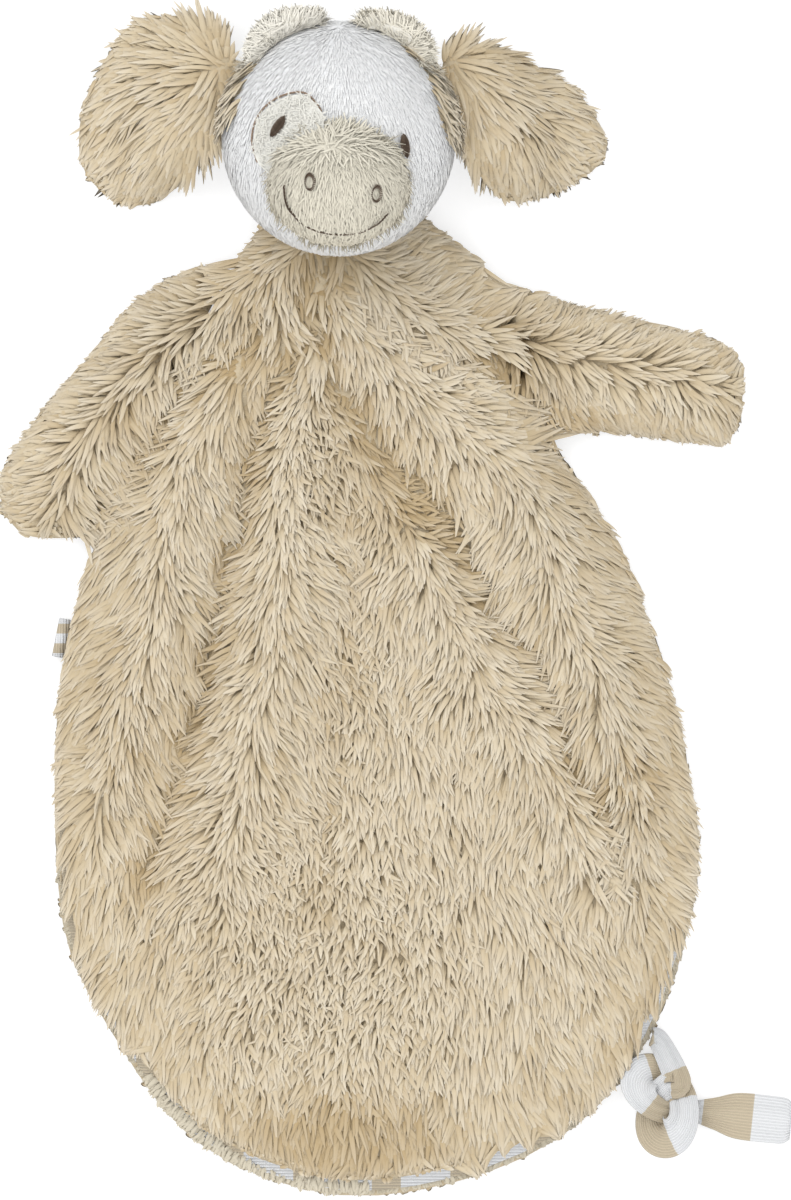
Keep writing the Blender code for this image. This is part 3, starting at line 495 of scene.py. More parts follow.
def drift(xy):
    """A slow wander of the pile's direction, in radians."""
    x, y = xy.T / MM
    return (0.17 * np.sin(x / 6.5 + 1.7 * np.sin(y / 9.0))
            + 0.12 * np.sin(y / 5.0 + 2.1 * np.sin(x / 8.0)))


# Pile, one closed tapered tuft after another

def tufts(name, lines, ups, widths, thin, tones, sides=3, taper=TUFT_WIDTHS, soft=None):
    """Meshes of tapered tufts. lines is (tufts, steps, 3), and the rest one per tuft. soft is
    how much of the shading is the cloth's below, as in dense pile, rather than each tuft's."""
    total, steps = lines.shape[:2]
    ahead = unit(np.gradient(lines, axis=1))
    across = unit(np.cross(ahead, ups[:, None, :]))
    above = np.cross(across, ahead)[:, :, None, :]
    across = across[:, :, None, :]
    turns = 2 * math.pi * (np.arange(sides) + 0.25) / sides
    wide, high = np.cos(turns), np.sin(turns)
    profile = np.interp(np.linspace(0, 1, steps), np.linspace(0, 1, len(taper)), taper)
    radius = (widths[:, None] * profile / 2)[:, :, None]
    ring = (lines[:, :, None, :] + (radius * wide)[..., None] * across
            + (radius * thin * high)[..., None] * above)
    if soft is not None:
        round_way = unit((thin * wide)[:, None] * across + high[:, None] * above)
        blend = np.broadcast_to(soft, total)[:, None, None, None]
        shading = unit(round_way * (1 - blend) + ups[:, None, None, :] * blend)
    per = steps * sides
    quads = np.array([(step * sides + side, (step + 1) * sides + side,
                       (step + 1) * sides + (side + 1) % sides, step * sides + (side + 1) % sides)
                      for step in range(steps - 1) for side in range(sides)])
    caps = np.array([range(sides), range(per - 1, per - 1 - sides, -1)])
    faces_per = len(quads) * 2 + 2 * (sides - 2)
    count = math.ceil(total / max(1, MOST_FACES // faces_per))
    made = []
    for part in range(count):
        chosen = slice(part * total // count, (part + 1) * total // count)
        offset = (np.arange(chosen.stop - chosen.start) * per)[:, None, None]
        walls, ends = ((shape[None] + offset).reshape(-1) for shape in (quads, caps))
        loops = np.concatenate([walls, ends])
        sizes = np.repeat((4, sides), (len(walls) // 4, len(ends) // sides))
        verts = ring[chosen].reshape(-1, 3)
        mesh = bpy.data.meshes.new(name)
        for target, items in ((mesh.vertices, verts), (mesh.loops, loops), (mesh.polygons, sizes)):
            target.add(len(items))
        put(mesh.vertices, "co", verts)
        put(mesh.loops, "vertex_index", loops, np.int32)
        put(mesh.polygons, "loop_start", np.cumsum(sizes) - sizes, np.int32)
        put(mesh.polygons, "loop_total", sizes, np.int32)
        along = (loops % per) // sides / (steps - 1)
        spread = (loops % sides) / max(sides - 1, 1) - 0.5
        tone = np.clip(tones[chosen][loops // per] + 0.02 * spread, 0, 1)
        layer = mesh.uv_layers.new(name=UV_NAME, do_init=False)
        put(layer.uv, "vector", np.stack([0.03 + 0.94 * tone, 0.03 + 0.94 * along], 1))
        mesh.update(calc_edges=True)
        mesh.validate()
        if sides > 3 or soft is not None:
            mesh.shade_smooth()
        if soft is not None:
            facing = mesh.attributes.new("custom_normal", "FLOAT_VECTOR", "POINT")
            put(facing.data, "vector", shading[chosen])
        made.append(bpy.data.objects.new(name if count == 1 else f"{name}_{part + 1}", mesh))
    return made


def shortened(roots, tips, which, share):
    return np.where(which[:, None], roots + share * (tips - roots), tips)


def kept_in(cover, roots, tips, lay, past):
    """Draws the tips back to the edge, and shortens the tufts that stray over a gap or that
    this turns aside."""
    for _ in range(8):
        beyond = cover.inward(tips) + past
        tips = tips + 0.7 * np.where(beyond < 0, beyond, 0)[:, None] * cover.outward(tips)
    stray = cover.inward(tips) + past < -0.5 * MM
    for part in (0.3, 0.5, 0.75):
        outside = cover.inward(roots + part * (tips - roots)) < -2.5 * MM
        stray |= outside & (roots[:, 1] < 100 * MM)
    tips = shortened(roots, tips, stray, 0.08)
    pushed = np.hypot(*(tips - roots).T)
    sideways = ((tips - roots) * lay).sum(1) < 0.6 * pushed
    return shortened(roots, tips, sideways & (pushed > 2.5 * MM), 0.35)


def pile_on(name, relief, comb, seed, spacing, run, width, side=1, share=0.62, wanted=None,
            tone=0.72, over=0.0, ragged=0.8 * MM, lock=3.9 * MM, cover=None, short_of=None,
            ridge_of=None, crease_of=None, over_of=None, tone_of=None):
    """Long pile rooted in a relief: each tuft rises to the cover's surface and lies along
    the comb, a little gathered into locks. The rules that end in of are read at the roots."""
    cover = cover or relief
    rng = np.random.default_rng(seed)
    high = relief.low + np.array(relief.top.shape) * relief.PITCH
    roots = jittered(relief.low, high, spacing, rng)
    keep = relief.inward(roots) > 0
    if wanted is not None:
        keep &= wanted(roots)
    roots = roots[keep]
    number = len(roots)
    short, ridge, crease, past, shade = (
        np.zeros(number) if rule is None else rule(roots)
        for rule in (short_of, ridge_of, crease_of, over_of, tone_of))

    waved = roots + 0.35 * lock * np.sin(roots[:, ::-1] / (2.3 * lock))
    cells = np.floor(waved / lock).astype(np.int64)
    unique, group = np.unique(cells[:, 0] * 100003 + cells[:, 1], return_inverse=True)
    centres = (cells + rng.uniform(0.2, 0.8, (len(unique), 2))[group]) * lock
    lock_tone = rng.normal(0, 0.09, len(unique))[group]
    lock_turn = rng.normal(0, 0.13, len(unique))[group]
    lock_run = rng.uniform(0.82, 1.18, len(unique))[group]
    lock_past = rng.normal(0, 1, len(unique))[group]

    loose = rng.normal(0, 1, number) * (0.13 + 0.5 * short)
    lay = turned(unit(comb(roots) + comb(centres)), loose + lock_turn + drift(roots))
    at_edge = 0.9 * smooth(1 - cover.inward(roots) / (6 * MM))[:, None]
    lay = unit(lay + at_edge * cover.outward(roots))
    shorter = 1 - 0.72 * np.maximum(short, 0.8 * crease)
    reach = run * lock_run * rng.uniform(0.75, 1.15, number) * shorter
    reach = (reach * (1 - 0.1 * ridge))[:, None]
    gathered = (0.5 * (1 - 0.6 * short) * (1 - 0.5 * ridge))[:, None]
    tips = (roots + lay * reach) * (1 - gathered) + (centres + lay * reach) * gathered
    past = past + over + ragged * (0.75 * lock_past + rng.normal(0, 0.5, number))
    tips = kept_in(cover, roots, tips, lay, past)

    top, bottom = relief.heights(roots)
    thick = np.maximum(top - bottom, 0.5 * MM)
    start = bottom + thick * (1 - share) if side > 0 else top - thick * (1 - share)
    full = rng.normal(0, 0.35 * MM, number) + ridge * 0.9 * MM - crease * 1.6 * MM
    sway = rng.normal(0, 0.3 * MM, number)
    beside = turned(lay, np.full(number, math.pi / 2))
    lines = np.zeros((number, len(TUFT_STEPS), 3))
    for index, step in enumerate(TUFT_STEPS):
        xy = (roots + (tips - roots) * step ** 1.3
              + beside * (sway * math.sin(math.pi * step))[:, None])
        top, bottom = cover.heights(xy)
        lift = 1 - (1 - step) ** 2
        end = top - 0.3 * MM + full if side > 0 else bottom + 0.3 * MM - full
        least = 0.25 * MM + 0.3 * MM * index * (side > 0)
        lines[:, index, :2] = xy
        lines[:, index, 2] = np.maximum(start * (1 - lift) + end * lift, least)
    ups = unit(cover.normals(roots, side) + (0.001, 0.001, 0.0))
    # Tones vary by lock and by tuft at random and rise in short pile; they fall near the creases,
    # which is painted shade, and by tone_of.
    tones = tone + lock_tone + rng.normal(0, 0.08, number) + 0.12 * short - 0.7 * crease + shade
    widths = width * rng.uniform(0.7, 1.3, number) * (1 - 0.15 * short)
    soft = 0.5 * smooth(cover.inward(roots) / (5 * MM))
    return tufts(name, lines, ups, widths, 0.45, in_tone(tones), soft=soft)


def backing(name, node, share, body="blanket", side=1):
    """The cloth that pile is rooted in: the node's solid, thinned from the pile's side."""
    cloth = node_copy(node, name)
    mesh = cloth.data
    mesh.name = name
    co = places_and_normals(mesh)[0]
    top, bottom = reliefs(node).heights(co[:, :2])
    top, bottom = np.maximum(top, co[:, 2]), np.minimum(bottom, co[:, 2])
    thick = np.maximum(top - bottom, 1e-6)
    level = (co[:, 2] - bottom) / thick
    if side > 0:
        co[:, 2] = bottom + thick * level * (1 - share)
    else:
        co[:, 2] = top - thick * (1 - level) * (1 - share)
    put(mesh.vertices, "co", co)
    mesh.update()
    link(body, "beige_plush", beige_backing(), close_up(cloth))
    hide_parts(node)
    return cloth


# Shader nodes and node groups

def feed(tree, socket, value):
    """Links a socket to another one, or sets its value."""
    if isinstance(value, bpy.types.NodeSocket):
        tree.links.new(value, socket)
    else:
        socket.default_value = value


def add_node(tree, kind, inputs, **choices):
    """A shader node with its choices made and its inputs fed."""
    node = tree.nodes.new("ShaderNode" + kind)
    for name, value in choices.items():
        setattr(node, name, value)
    for key, value in inputs.items():
        feed(tree, node.inputs[key], value)
    return node


def new_group(name, inputs, outputs):
    """A node group. Each socket has its kind, or a number where it is one with a default."""
    group = bpy.data.node_groups.new(name, "ShaderNodeTree")
    for way, sockets in (("INPUT", inputs), ("OUTPUT", outputs)):
        for label, kind in sockets.items():
            number = isinstance(kind, float)
            kind = "NodeSocket" + ("Float" if number else kind)
            socket = group.interface.new_socket(label, in_out=way, socket_type=kind)
            if number:
                socket.default_value = sockets[label]
    given = group.nodes.new("NodeGroupInput").outputs
    return group, given, group.nodes.new("NodeGroupOutput").inputs


def value_node(tree, operation, *values, clamp=False):
    inputs = dict(enumerate(values))
    return add_node(tree, "Math", inputs, operation=operation, use_clamp=clamp).outputs[0]


def mixed(tree, factor, first, second, blend="MIX"):
    inputs = {0: factor, 6: first, 7: second}
    return add_node(tree, "Mix", inputs, data_type="RGBA", blend_type=blend).outputs[2]


def noise(tree, vector, scale, detail):
    inputs = {"Vector": vector, "Scale": scale, "Detail": detail, "Roughness": 0.5}
    return add_node(tree, "TexNoise", inputs).outputs["Fac"]


def pile_group():
    """Colour of a tuft from root to tip, lighter or darker by its tone, with fine fibres."""
    group, given, out = new_group(
        "Pile",
        {"Map": "Vector", "Root": "Color", "Middle": "Color", "Tip": "Color", "Shade": "Color"},
        {"Colour": "Color", "Fibres": "Float"})
    calc = partial(value_node, group)
    tone, along = add_node(group, "SeparateXYZ", {0: given["Map"]}).outputs[:2]
    drawn_out = add_node(group, "Mapping", {"Vector": given["Map"], "Scale": (700.0, 3.0, 1.0)})
    fibres = noise(group, drawn_out.outputs["Vector"], 1.0, 1.0)
    lower = mixed(group, calc("MULTIPLY", along, 2.4, clamp=True), given["Root"], given["Middle"])
    far = calc("MULTIPLY_ADD", along, 1.9, -0.85, clamp=True)
    upper = mixed(group, far, lower, given["Tip"])
    shaded = mixed(group, 1.0, upper, given["Shade"], "MULTIPLY")
    light = calc("ADD", calc("MULTIPLY_ADD", fibres, 0.5, -0.25), tone, clamp=True)
    feed(group, out["Colour"], mixed(group, light, shaded, upper))
    feed(group, out["Fibres"], fibres)
    return group


def knit_group():
    """Striped jersey: bands of two colours, fine ribs and the loops between them, with painted
    shade in the troughs between the ribs.
    """
    group, given, out = new_group(
        "Striped Knit",
        {"Along": 0.0, "Across": 0.0, "Stripe": 21.0, "Band Share": 0.4, "Shift": 0.0,
         "Rib": 0.85, "Ground": "Color", "Band": "Color"},
        {"Colour": "Color", "Height": "Float"})
    calc = partial(value_node, group)

    def wave(place, turn):
        """A sine wave between 0 and 1 along a place counted in ribs."""
        ribs = calc("DIVIDE", place, given["Rib"])
        return calc("MULTIPLY_ADD", calc("SINE", calc("MULTIPLY", ribs, turn)), 0.5, 0.5)

    turns = calc("DIVIDE", calc("ADD", given["Along"], given["Shift"]), given["Stripe"])
    half = calc("MULTIPLY", given["Band Share"], math.pi)
    angle = calc("SUBTRACT", calc("MULTIPLY", turns, 2 * math.pi), half)
    past = calc("SUBTRACT", calc("COSINE", angle), calc("COSINE", half))
    band = calc("MULTIPLY_ADD", past, 24.0, 0.5, clamp=True)
    rib, loop = wave(given["Across"], 2 * math.pi), wave(given["Along"], 3.2 * math.pi)
    # Painted shade: the colour darkens in the troughs between the ribs.
    dark = calc("MULTIPLY_ADD", rib, 0.16, 0.84)
    rib_shade = add_node(group, "CombineColor", {0: dark, 1: dark, 2: dark}).outputs[0]
    colour = mixed(group, band, given["Ground"], given["Band"])
    feed(group, out["Colour"], mixed(group, 1.0, colour, rib_shade, "MULTIPLY"))
    feed(group, out["Height"], calc("MULTIPLY_ADD", loop, 0.3, rib))
    return group


def cloth_group():
    """Knitted backing of the plush: a fine mesh of loops under the pile. Its colour darkens where
    the loops sink, which is painted shade, and is mottled at random.
    """
    group, given, out = new_group(
        "Backing Cloth",
        {"Map": "Vector", "Dark": "Color", "Light": "Color", "Scale": 900.0},
        {"Colour": "Color", "Height": "Float"})
    inputs = {"Vector": given["Map"], "Scale": given["Scale"]}
    cells = add_node(group, "TexVoronoi", inputs).outputs["Distance"]
    # Painted shade: darker where the loops' height is low, with a random mottle.
    amount = value_node(group, "MULTIPLY_ADD", cells, 0.7, noise(group, given["Map"], 60.0, 3.0))
    amount = value_node(group, "MULTIPLY", amount, 0.6, clamp=True)
    feed(group, out["Colour"], mixed(group, amount, given["Dark"], given["Light"]))
    feed(group, out["Height"], cells)
    return group


GROUPS = {"Pile": pile_group, "Striped Knit": knit_group, "Backing Cloth": cloth_group}


def place_group(tree, name, inputs):
    group = bpy.data.node_groups.get(name) or GROUPS[name]()
    return add_node(tree, "Group", inputs, node_tree=group)


# Materials

def kept(name, make, *values):
    """The material of that name, made where there is none yet."""
    return bpy.data.materials.get(name) or make(name, *values)


def faded(colour, share):
    return tuple(min(1.0, share * part) for part in colour)


def new_material(name, roughness, sheen=0.0, sheen_tint=(1.0, 1.0, 1.0), specular=0.25):
    material = bpy.data.materials.new(name)
    material.use_nodes = True
    tree = material.node_tree
    shader = tree.nodes["Principled BSDF"]
    for label, value in (("Roughness", roughness), ("Specular IOR Level", specular),
                         ("Sheen Weight", sheen), ("Sheen Roughness", 0.45),
                         ("Sheen Tint", (*sheen_tint, 1.0))):
        shader.inputs[label].default_value = value
    return material, tree, shader


def add_bump(tree, shader, height, distance, strength=0.6):
    inputs = {"Strength": strength, "Distance": distance, "Height": height}
    feed(tree, shader.inputs["Normal"], add_node(tree, "Bump", inputs).outputs[0])


def pile_material(name, root, middle, tip, shade, sheen):
    tint = tuple(part / max(tip) for part in tip)
    material, tree, shader = new_material(name, 0.9, sheen, tint, 0.1)
    inputs = {"Root": (*root, 1.0), "Middle": (*middle, 1.0), "Tip": (*tip, 1.0),
              "Shade": (*shade, 1.0), "Map": add_node(tree, "UVMap", {}, uv_map=UV_NAME).outputs[0]}
    pile = place_group(tree, "Pile", inputs)
    feed(tree, shader.inputs["Base Color"], pile.outputs["Colour"])
    return material


def backing_material(name, dark, light):
    material, tree, shader = new_material(name, 0.95)
    place = add_node(tree, "TexCoord", {}).outputs["Object"]
    cloth = place_group(tree, "Backing Cloth",
                        {"Map": place, "Dark": (*dark, 1.0), "Light": (*light, 1.0)})
    feed(tree, shader.inputs["Base Color"], cloth.outputs["Colour"])
    add_bump(tree, shader, cloth.outputs["Height"], 0.3 * MM)
    return material


def knit_material(name, by_map, shift, crosswise, stripe, share):
    """Striped jersey laid out by place, or by the piece's own map in millimetres."""
    material, tree, shader = new_material(name, 0.8, 0.15)
    if by_map:
        place = add_node(tree, "Attribute", {}, attribute_name="cloth_mm").outputs["Vector"]
    else:
        place = add_node(tree, "TexCoord", {}).outputs["Object"]
    along, across = (value_node(tree, "MULTIPLY", part, 1.0 if by_map else 1 / MM)
                     for part in add_node(tree, "SeparateXYZ", {0: place}).outputs[:2])
    if crosswise:
        along, across = across, along
    c = colours()
    knit = place_group(tree, "Striped Knit", {
        "Along": along, "Across": across, "Shift": shift, "Stripe": stripe, "Band Share": share,
        "Ground": (*c.jersey_white, 1.0), "Band": (*c.jersey_beige, 1.0)})
    feed(tree, shader.inputs["Base Color"], knit.outputs["Colour"])
    add_bump(tree, shader, knit.outputs["Height"], 0.25 * MM, 0.7)
    return material


def long_pile():
    c = colours()
    return kept("beige_long_pile", pile_material, c.beige_root, c.beige_middle, c.beige_tip,
                c.beige_shade, 0.1)


def beige_backing():
    c = colours()
    return kept("beige_backing", backing_material, faded(c.beige_root, 0.86), c.beige_middle)


def short_material(name, colour):
    # The short pile is a little darker at its roots than at its tips, painted shade deep in the
    # pile.
    return kept(name, pile_material, faded(colour, 0.90), faded(colour, 0.97),
                faded(colour, 1.03), (0.91, 0.90, 0.87), 0.3)


def skin_material(name, colour):
    return kept(name, backing_material, faded(colour, 0.90), faded(colour, 0.98))


def thread_material(name="brown_embroidery", share=1.0):
    dark = tuple(share * part for part in colours().thread)
    light = faded(dark, 3.2)
    middle = tuple(1.6 * part for part in dark)
    return kept(name, pile_material, light, middle, light, (0.45, 0.42, 0.40), 0.1)


def horn_pile(side):
    c = colours()
    if side == "left":
        return short_material("cream_short_pile", c.cream)
    return short_material("warm_cream_pile", c.warm_cream)


# Settings

def length_property(name, description, default, least, most):
    return bpy.props.FloatProperty(name=name, description=description, default=default * MM,
                                   min=least * MM, max=most * MM, unit="LENGTH", precision=5)


def colour_property(name, description, default):
    return bpy.props.FloatVectorProperty(name=name, description=description, subtype="COLOR",
                                         size=3, min=0, max=1, default=default)


class ComforterSizes(bpy.types.PropertyGroup):
    tuft_spacing: length_property(
        "Tuft spacing", "Distance between the roots of the long pile", 1.2, 0.6, 4)
    tuft_width: length_property("Tuft width", "Width of a tuft of the long pile", 1.5, 0.3, 3)
    tuft_run: length_property(
        "Tuft run", "How far a tuft of the long pile lies along the cloth", 11.0, 1, 20)
    short_spacing: length_property(
        "Short pile spacing", "Distance between the roots of the short pile", 0.68, 0.3, 3)
    short_length: length_property(
        "Short pile length", "Length of the head's short pile", 2.2, 0.5, 6)


class ComforterColours(bpy.types.PropertyGroup):
    # The long pile's colours darken from tip to root, partly the pile's own colour and partly
    # painted shade deep in the pile.
    beige_root: colour_property("Beige root", "Long pile at its roots", (0.56, 0.452, 0.295))
    beige_middle: colour_property("Beige middle", "Long pile half way up", (0.614, 0.523, 0.372))
    beige_tip: colour_property("Beige tip", "Long pile at its tips", (0.697, 0.633, 0.520))
    beige_shade: colour_property("Beige shade", "How darker tufts are tinted", (0.70, 0.61, 0.47))
    white: colour_property("White", "Short pile of the head", (0.85, 0.86, 0.872))
    cream: colour_property("Cream", "Pile of the left horn", (0.87, 0.84, 0.76))
    pale_cream: colour_property("Pale cream", "Pile of the eye patch", (0.79, 0.78, 0.725))
    stone: colour_property("Stone", "Short pile of the muzzle", (0.74, 0.70, 0.59))
    warm_cream: colour_property("Warm cream", "Pile of the right horn", (0.82, 0.78, 0.68))
    # Painted shade: the fringe is the beige pile in a greyer, shaded copy of its colour.
    fringe: colour_property("Fringe", "Pile that folds over the hem", (0.62, 0.565, 0.45))
    thread: colour_property("Thread", "Embroidery thread", (0.060, 0.045, 0.034))
    jersey_white: colour_property("Jersey white", "White stripes of the jersey",
                                  (0.74, 0.75, 0.765))
    jersey_beige: colour_property("Jersey beige", "Beige stripes of the jersey",
                                  (0.55, 0.47, 0.345))


# Stage

class COMFORTER_OT_stage(bpy.types.Operator):
    """Floor, studio light and the camera"""
    bl_idname = "comforter.stage"
    bl_label = "Stage"

    def execute(self, context):
        scene = context.scene
        scene.view_settings.view_transform = "Standard"
        r = FLOOR_REACH
        corners = [(x, y, FLOOR_LEVEL) for x, y in ((-r, -r), (r, -r), (r, r), (-r, r))]
        floor = mesh_object("floor", corners, [(0, 1, 2, 3)])
        # To the camera the floor also glows, so that it is as white as the photograph's
        material, tree, shader = new_material("white_table", 0.9)
        shader.inputs["Base Color"].default_value = (FLOOR_GREY, FLOOR_GREY, FLOOR_GREY, 1.0)
        none, glow = (add_node(tree, "Emission", {"Color": WHITE, "Strength": strength}).outputs[0]
                      for strength in (0.0, FLOOR_GLOW))
        seen = add_node(tree, "LightPath", {}).outputs["Is Camera Ray"]
        pick = add_node(tree, "MixShader", {0: seen, 1: none, 2: glow}).outputs[0]
        both = add_node(tree, "AddShader", {0: shader.outputs[0], 1: pick}).outputs[0]
        feed(tree, tree.nodes["Material Output"].inputs["Surface"], both)
        floor.data.materials.append(material)
        scene.collection.objects.link(floor)
        world = bpy.data.worlds.new("studio")
        world.use_nodes = True
        sky = world.node_tree.nodes["Background"].inputs
        sky[0].default_value, sky[1].default_value = WHITE, SKY_LIGHT
        scene.world = world
        for name, at, size, energy in LIGHTS:
            light = bpy.data.lights.new(name, "AREA")
            light.size, light.energy = size, energy
            lamp = bpy.data.objects.new(name, light)
            lamp.location = at
            lamp.rotation_euler = (-Vector(at)).to_track_quat("-Z", "Y").to_euler()
            scene.collection.objects.link(lamp)
        camera = bpy.data.cameras.new("camera")
        camera.lens = VIEW_HEIGHT_MM / FRAME_HEIGHT_MM * SENSOR_MM
        camera.sensor_width = SENSOR_MM
        view = bpy.data.objects.new("camera", camera)
        view.location = [part * MM for part in (*FRAME_CENTRE_MM, VIEW_HEIGHT_MM)]
        scene.collection.objects.link(view)
        scene.camera = view
        return {"FINISHED"}


# Blanket

class COMFORTER_OT_front(bpy.types.Operator):
    """Front plush of the blanket, with long pile parted along its folds"""
    bl_idname = "comforter.front"
    bl_label = "Front plush"

    def execute(self, context):
        s = settings()
        relief = reliefs("front_panel")
        cloth = backing("front_plush", "front_panel", 0.34)
        pile = pile_on("front_pile", relief, blanket_comb, 11, s.tuft_spacing, s.tuft_run,
                       s.tuft_width, cover=whole_front(), short_of=short_share,
                       ridge_of=ridge_share, crease_of=crease_share, tone_of=place_tone,
                       over_of=bare_reach, share=0.5)
        pile += pile_on("crest_pile", relief, crest_comb, 14, 1.1 * s.tuft_spacing,
                        0.9 * s.tuft_run, s.tuft_width, cover=whole_front(),
                        ridge_of=ridge_share, share=0.5, tone=0.8,
                        wanted=lambda xy: ridge_share(xy) > 0.45)
        link("blanket", "beige_plush", long_pile(), *pile)
        return {"FINISHED"}


class COMFORTER_OT_back(bpy.types.Operator):
    """Back plush of the blanket, whose pile shows as a fringe round the hem"""
    bl_idname = "comforter.back"
    bl_label = "Back plush"

    def execute(self, context):
        s = settings()
        relief = reliefs("back_panel")
        cloth = backing("back_plush", "back_panel", 0.62, side=-1)

        def down(xy):
            return downward(xy, 0.5)

        def outward_down(xy):
            return unit(relief.outward(xy) + 0.6 * down(xy))

        def ring(xy, least, most):
            return (relief.inward(xy) < most * MM) & (relief.inward(xy) > least * MM)

        def low_hem(xy):
            return ring(xy, 1.8, 5.5) & (xy[:, 1] < -40 * MM)

        def folded_over(xy):
            crescent = nearest_on(BARE_CRESCENT, xy)[0] < 1.9 * MM
            blocks = (xy[:, 0] > BARE_BLOCKS[0] * MM) & (xy[:, 0] < BARE_BLOCKS[1] * MM)
            near = nearest_on(SHORT_HEM, xy)[0] < 5 * MM
            return near & ~crescent & ~blocks & ring(xy, 1.6, 5.0)

        under = pile_on("back_pile", relief, down, 12, 1.7 * MM, s.tuft_run, 1.2 * s.tuft_width,
                        side=-1, over=-0.9 * MM, ragged=0.3 * MM)
        fringe = pile_on("hem_pile", relief, outward_down, 13, 0.8 * MM, 5.2 * MM,
                         0.75 * s.tuft_width, share=0.3, ragged=0.4 * MM, lock=3.0 * MM,
                         wanted=low_hem)
        layers = Relief("back_panel", "back_lining", "front_lining")
        fringe += pile_on("long_hem_pile", layers, outward_down, 15, 0.85 * MM, 4.6 * MM,
                          0.8 * s.tuft_width, share=0.1, over=0.5 * MM, ragged=0.5 * MM,
                          lock=2.4 * MM, wanted=folded_over,
                          ridge_of=lambda xy: np.full(len(xy), 0.9))
        link("blanket", "beige_plush", long_pile(), *under)
        # The fringe's pile takes the greyer fringe colour, painted shade of the hem's tufts.
        link("blanket", "beige_plush", short_material("fringe_pile", colours().fringe), *fringe)
        return {"FINISHED"}


def jersey_cloth(node, material):
    """A node's solid as a piece of striped jersey on the blanket."""
    cloth = close_up(node_copy(node, node + "_cloth"))
    link("blanket", "striped_jersey", material, cloth)
    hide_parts(node)
    return cloth


class COMFORTER_OT_linings(bpy.types.Operator):
    """Two striped jersey linings between the plush layers"""
    bl_idname = "comforter.linings"
    bl_label = "Jersey linings"

    def execute(self, context):
        material = knit_material("lining_jersey", False, 1.6, False, 22.0, 0.37)
        for node in ("back_lining", "front_lining"):
            cloth = jersey_cloth(node, material)
        return {"FINISHED"}


# Arms and ears


def limb(body, comb, seed, flat, cover=None, tone_of=None, **looks):
    """Front and back plush of an arm or an ear, each with its own pile."""
    s = settings()
    for layer, side in (("front", 1), ("back", -1)):
        node = f"{body}_{layer}"
        cloth = backing(node + "_plush", node, 0.4, body, side)
        front = side > 0
        pile = pile_on(node + "_pile", reliefs(node), comb, seed + side,
                       s.tuft_spacing if front else 1.3 * s.tuft_spacing, s.tuft_run,
                       s.tuft_width, side=side, share=0.5, cover=cover if front else None,
                       tone_of=tone_of if front else None, **looks)
        link(body, "beige_plush", long_pile(), *pile)


class COMFORTER_OT_arms(bpy.types.Operator):
    """Two arms of plush on both sides"""
    bl_idname = "comforter.arms"
    bl_label = "Arms"

    def execute(self, context):
        for name, flat, seed in ARMS:
            limb(name, blanket_comb, seed, flat, whole_front(), place_tone, ridge_of=ridge_share)
        return {"FINISHED"}


class COMFORTER_OT_ears(bpy.types.Operator):
    """Two floppy ears, their pile brushed out from the root"""
    bl_idname = "comforter.ears"
    bl_label = "Ears"

    def execute(self, context):
        for name, flat, seed, middle, seam in EARS:
            def brushed(xy):
                return unit(unit(xy - np.array(middle) * MM) + np.array((0.0, -0.15)))

            def past(xy):
                near = nearest_on(seam, xy)[0]
                return -0.8 * MM + 7.0 * MM * np.exp(-(near / (5 * MM)) ** 2)

            limb(name, brushed, seed, flat, tone=0.76, over_of=past, ragged=1.7 * MM)
        return {"FINISHED"}


# Head

def node_ball(node):
    low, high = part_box(node)
    return np.array((low + high) / 2), np.array((high - low) / 2)


def head_ball(name, centre, half):
    """The head's skin, a ball with a slight ripple."""
    mesh = bpy.data.meshes.new(name)
    shape = bmesh.new()
    bmesh.ops.create_uvsphere(shape, u_segments=64, v_segments=40, radius=1)
    rng = np.random.default_rng(3)
    waves, phases = rng.normal(0, 1.6, (6, 3)), rng.uniform(0, 6.28, 6)
    for vertex in shape.verts:
        point = np.array(vertex.co)
        swell = 1 + 0.008 * float(np.sin(waves @ point + phases).mean())
        vertex.co = Vector(point * swell * half) + Vector(centre)
    shape.to_mesh(mesh)
    shape.free()
    mesh.shade_smooth()
    return bpy.data.objects.new(name, mesh)


def surface_points(mesh, spacing, rng):
    """Points spread over a mesh's surface, with its normals there."""
    mesh.calc_loop_triangles()
    triangles = np.array([t.vertices[:] for t in mesh.loop_triangles])
    verts, normals = places_and_normals(mesh)
    a, b, c = (verts[triangles[:, i]] for i in range(3))
    area = np.linalg.norm(np.cross(b - a, c - a), axis=1) / 2
    number = int(area.sum() / spacing ** 2)
    share = (np.arange(number) + rng.uniform(0, 1, number)) / number
    face = np.searchsorted(np.cumsum(area) / area.sum(), share).clip(0, len(area) - 1)
    u, v = rng.uniform(0, 1, (2, number))
    over = u + v > 1
    u, v = np.where(over, 1 - u, u), np.where(over, 1 - v, v)
    weights = np.stack([1 - u - v, u, v], 1)[:, :, None]
    return ((verts[triangles[face]] * weights).sum(1),
            unit((normals[triangles[face]] * weights).sum(1)))


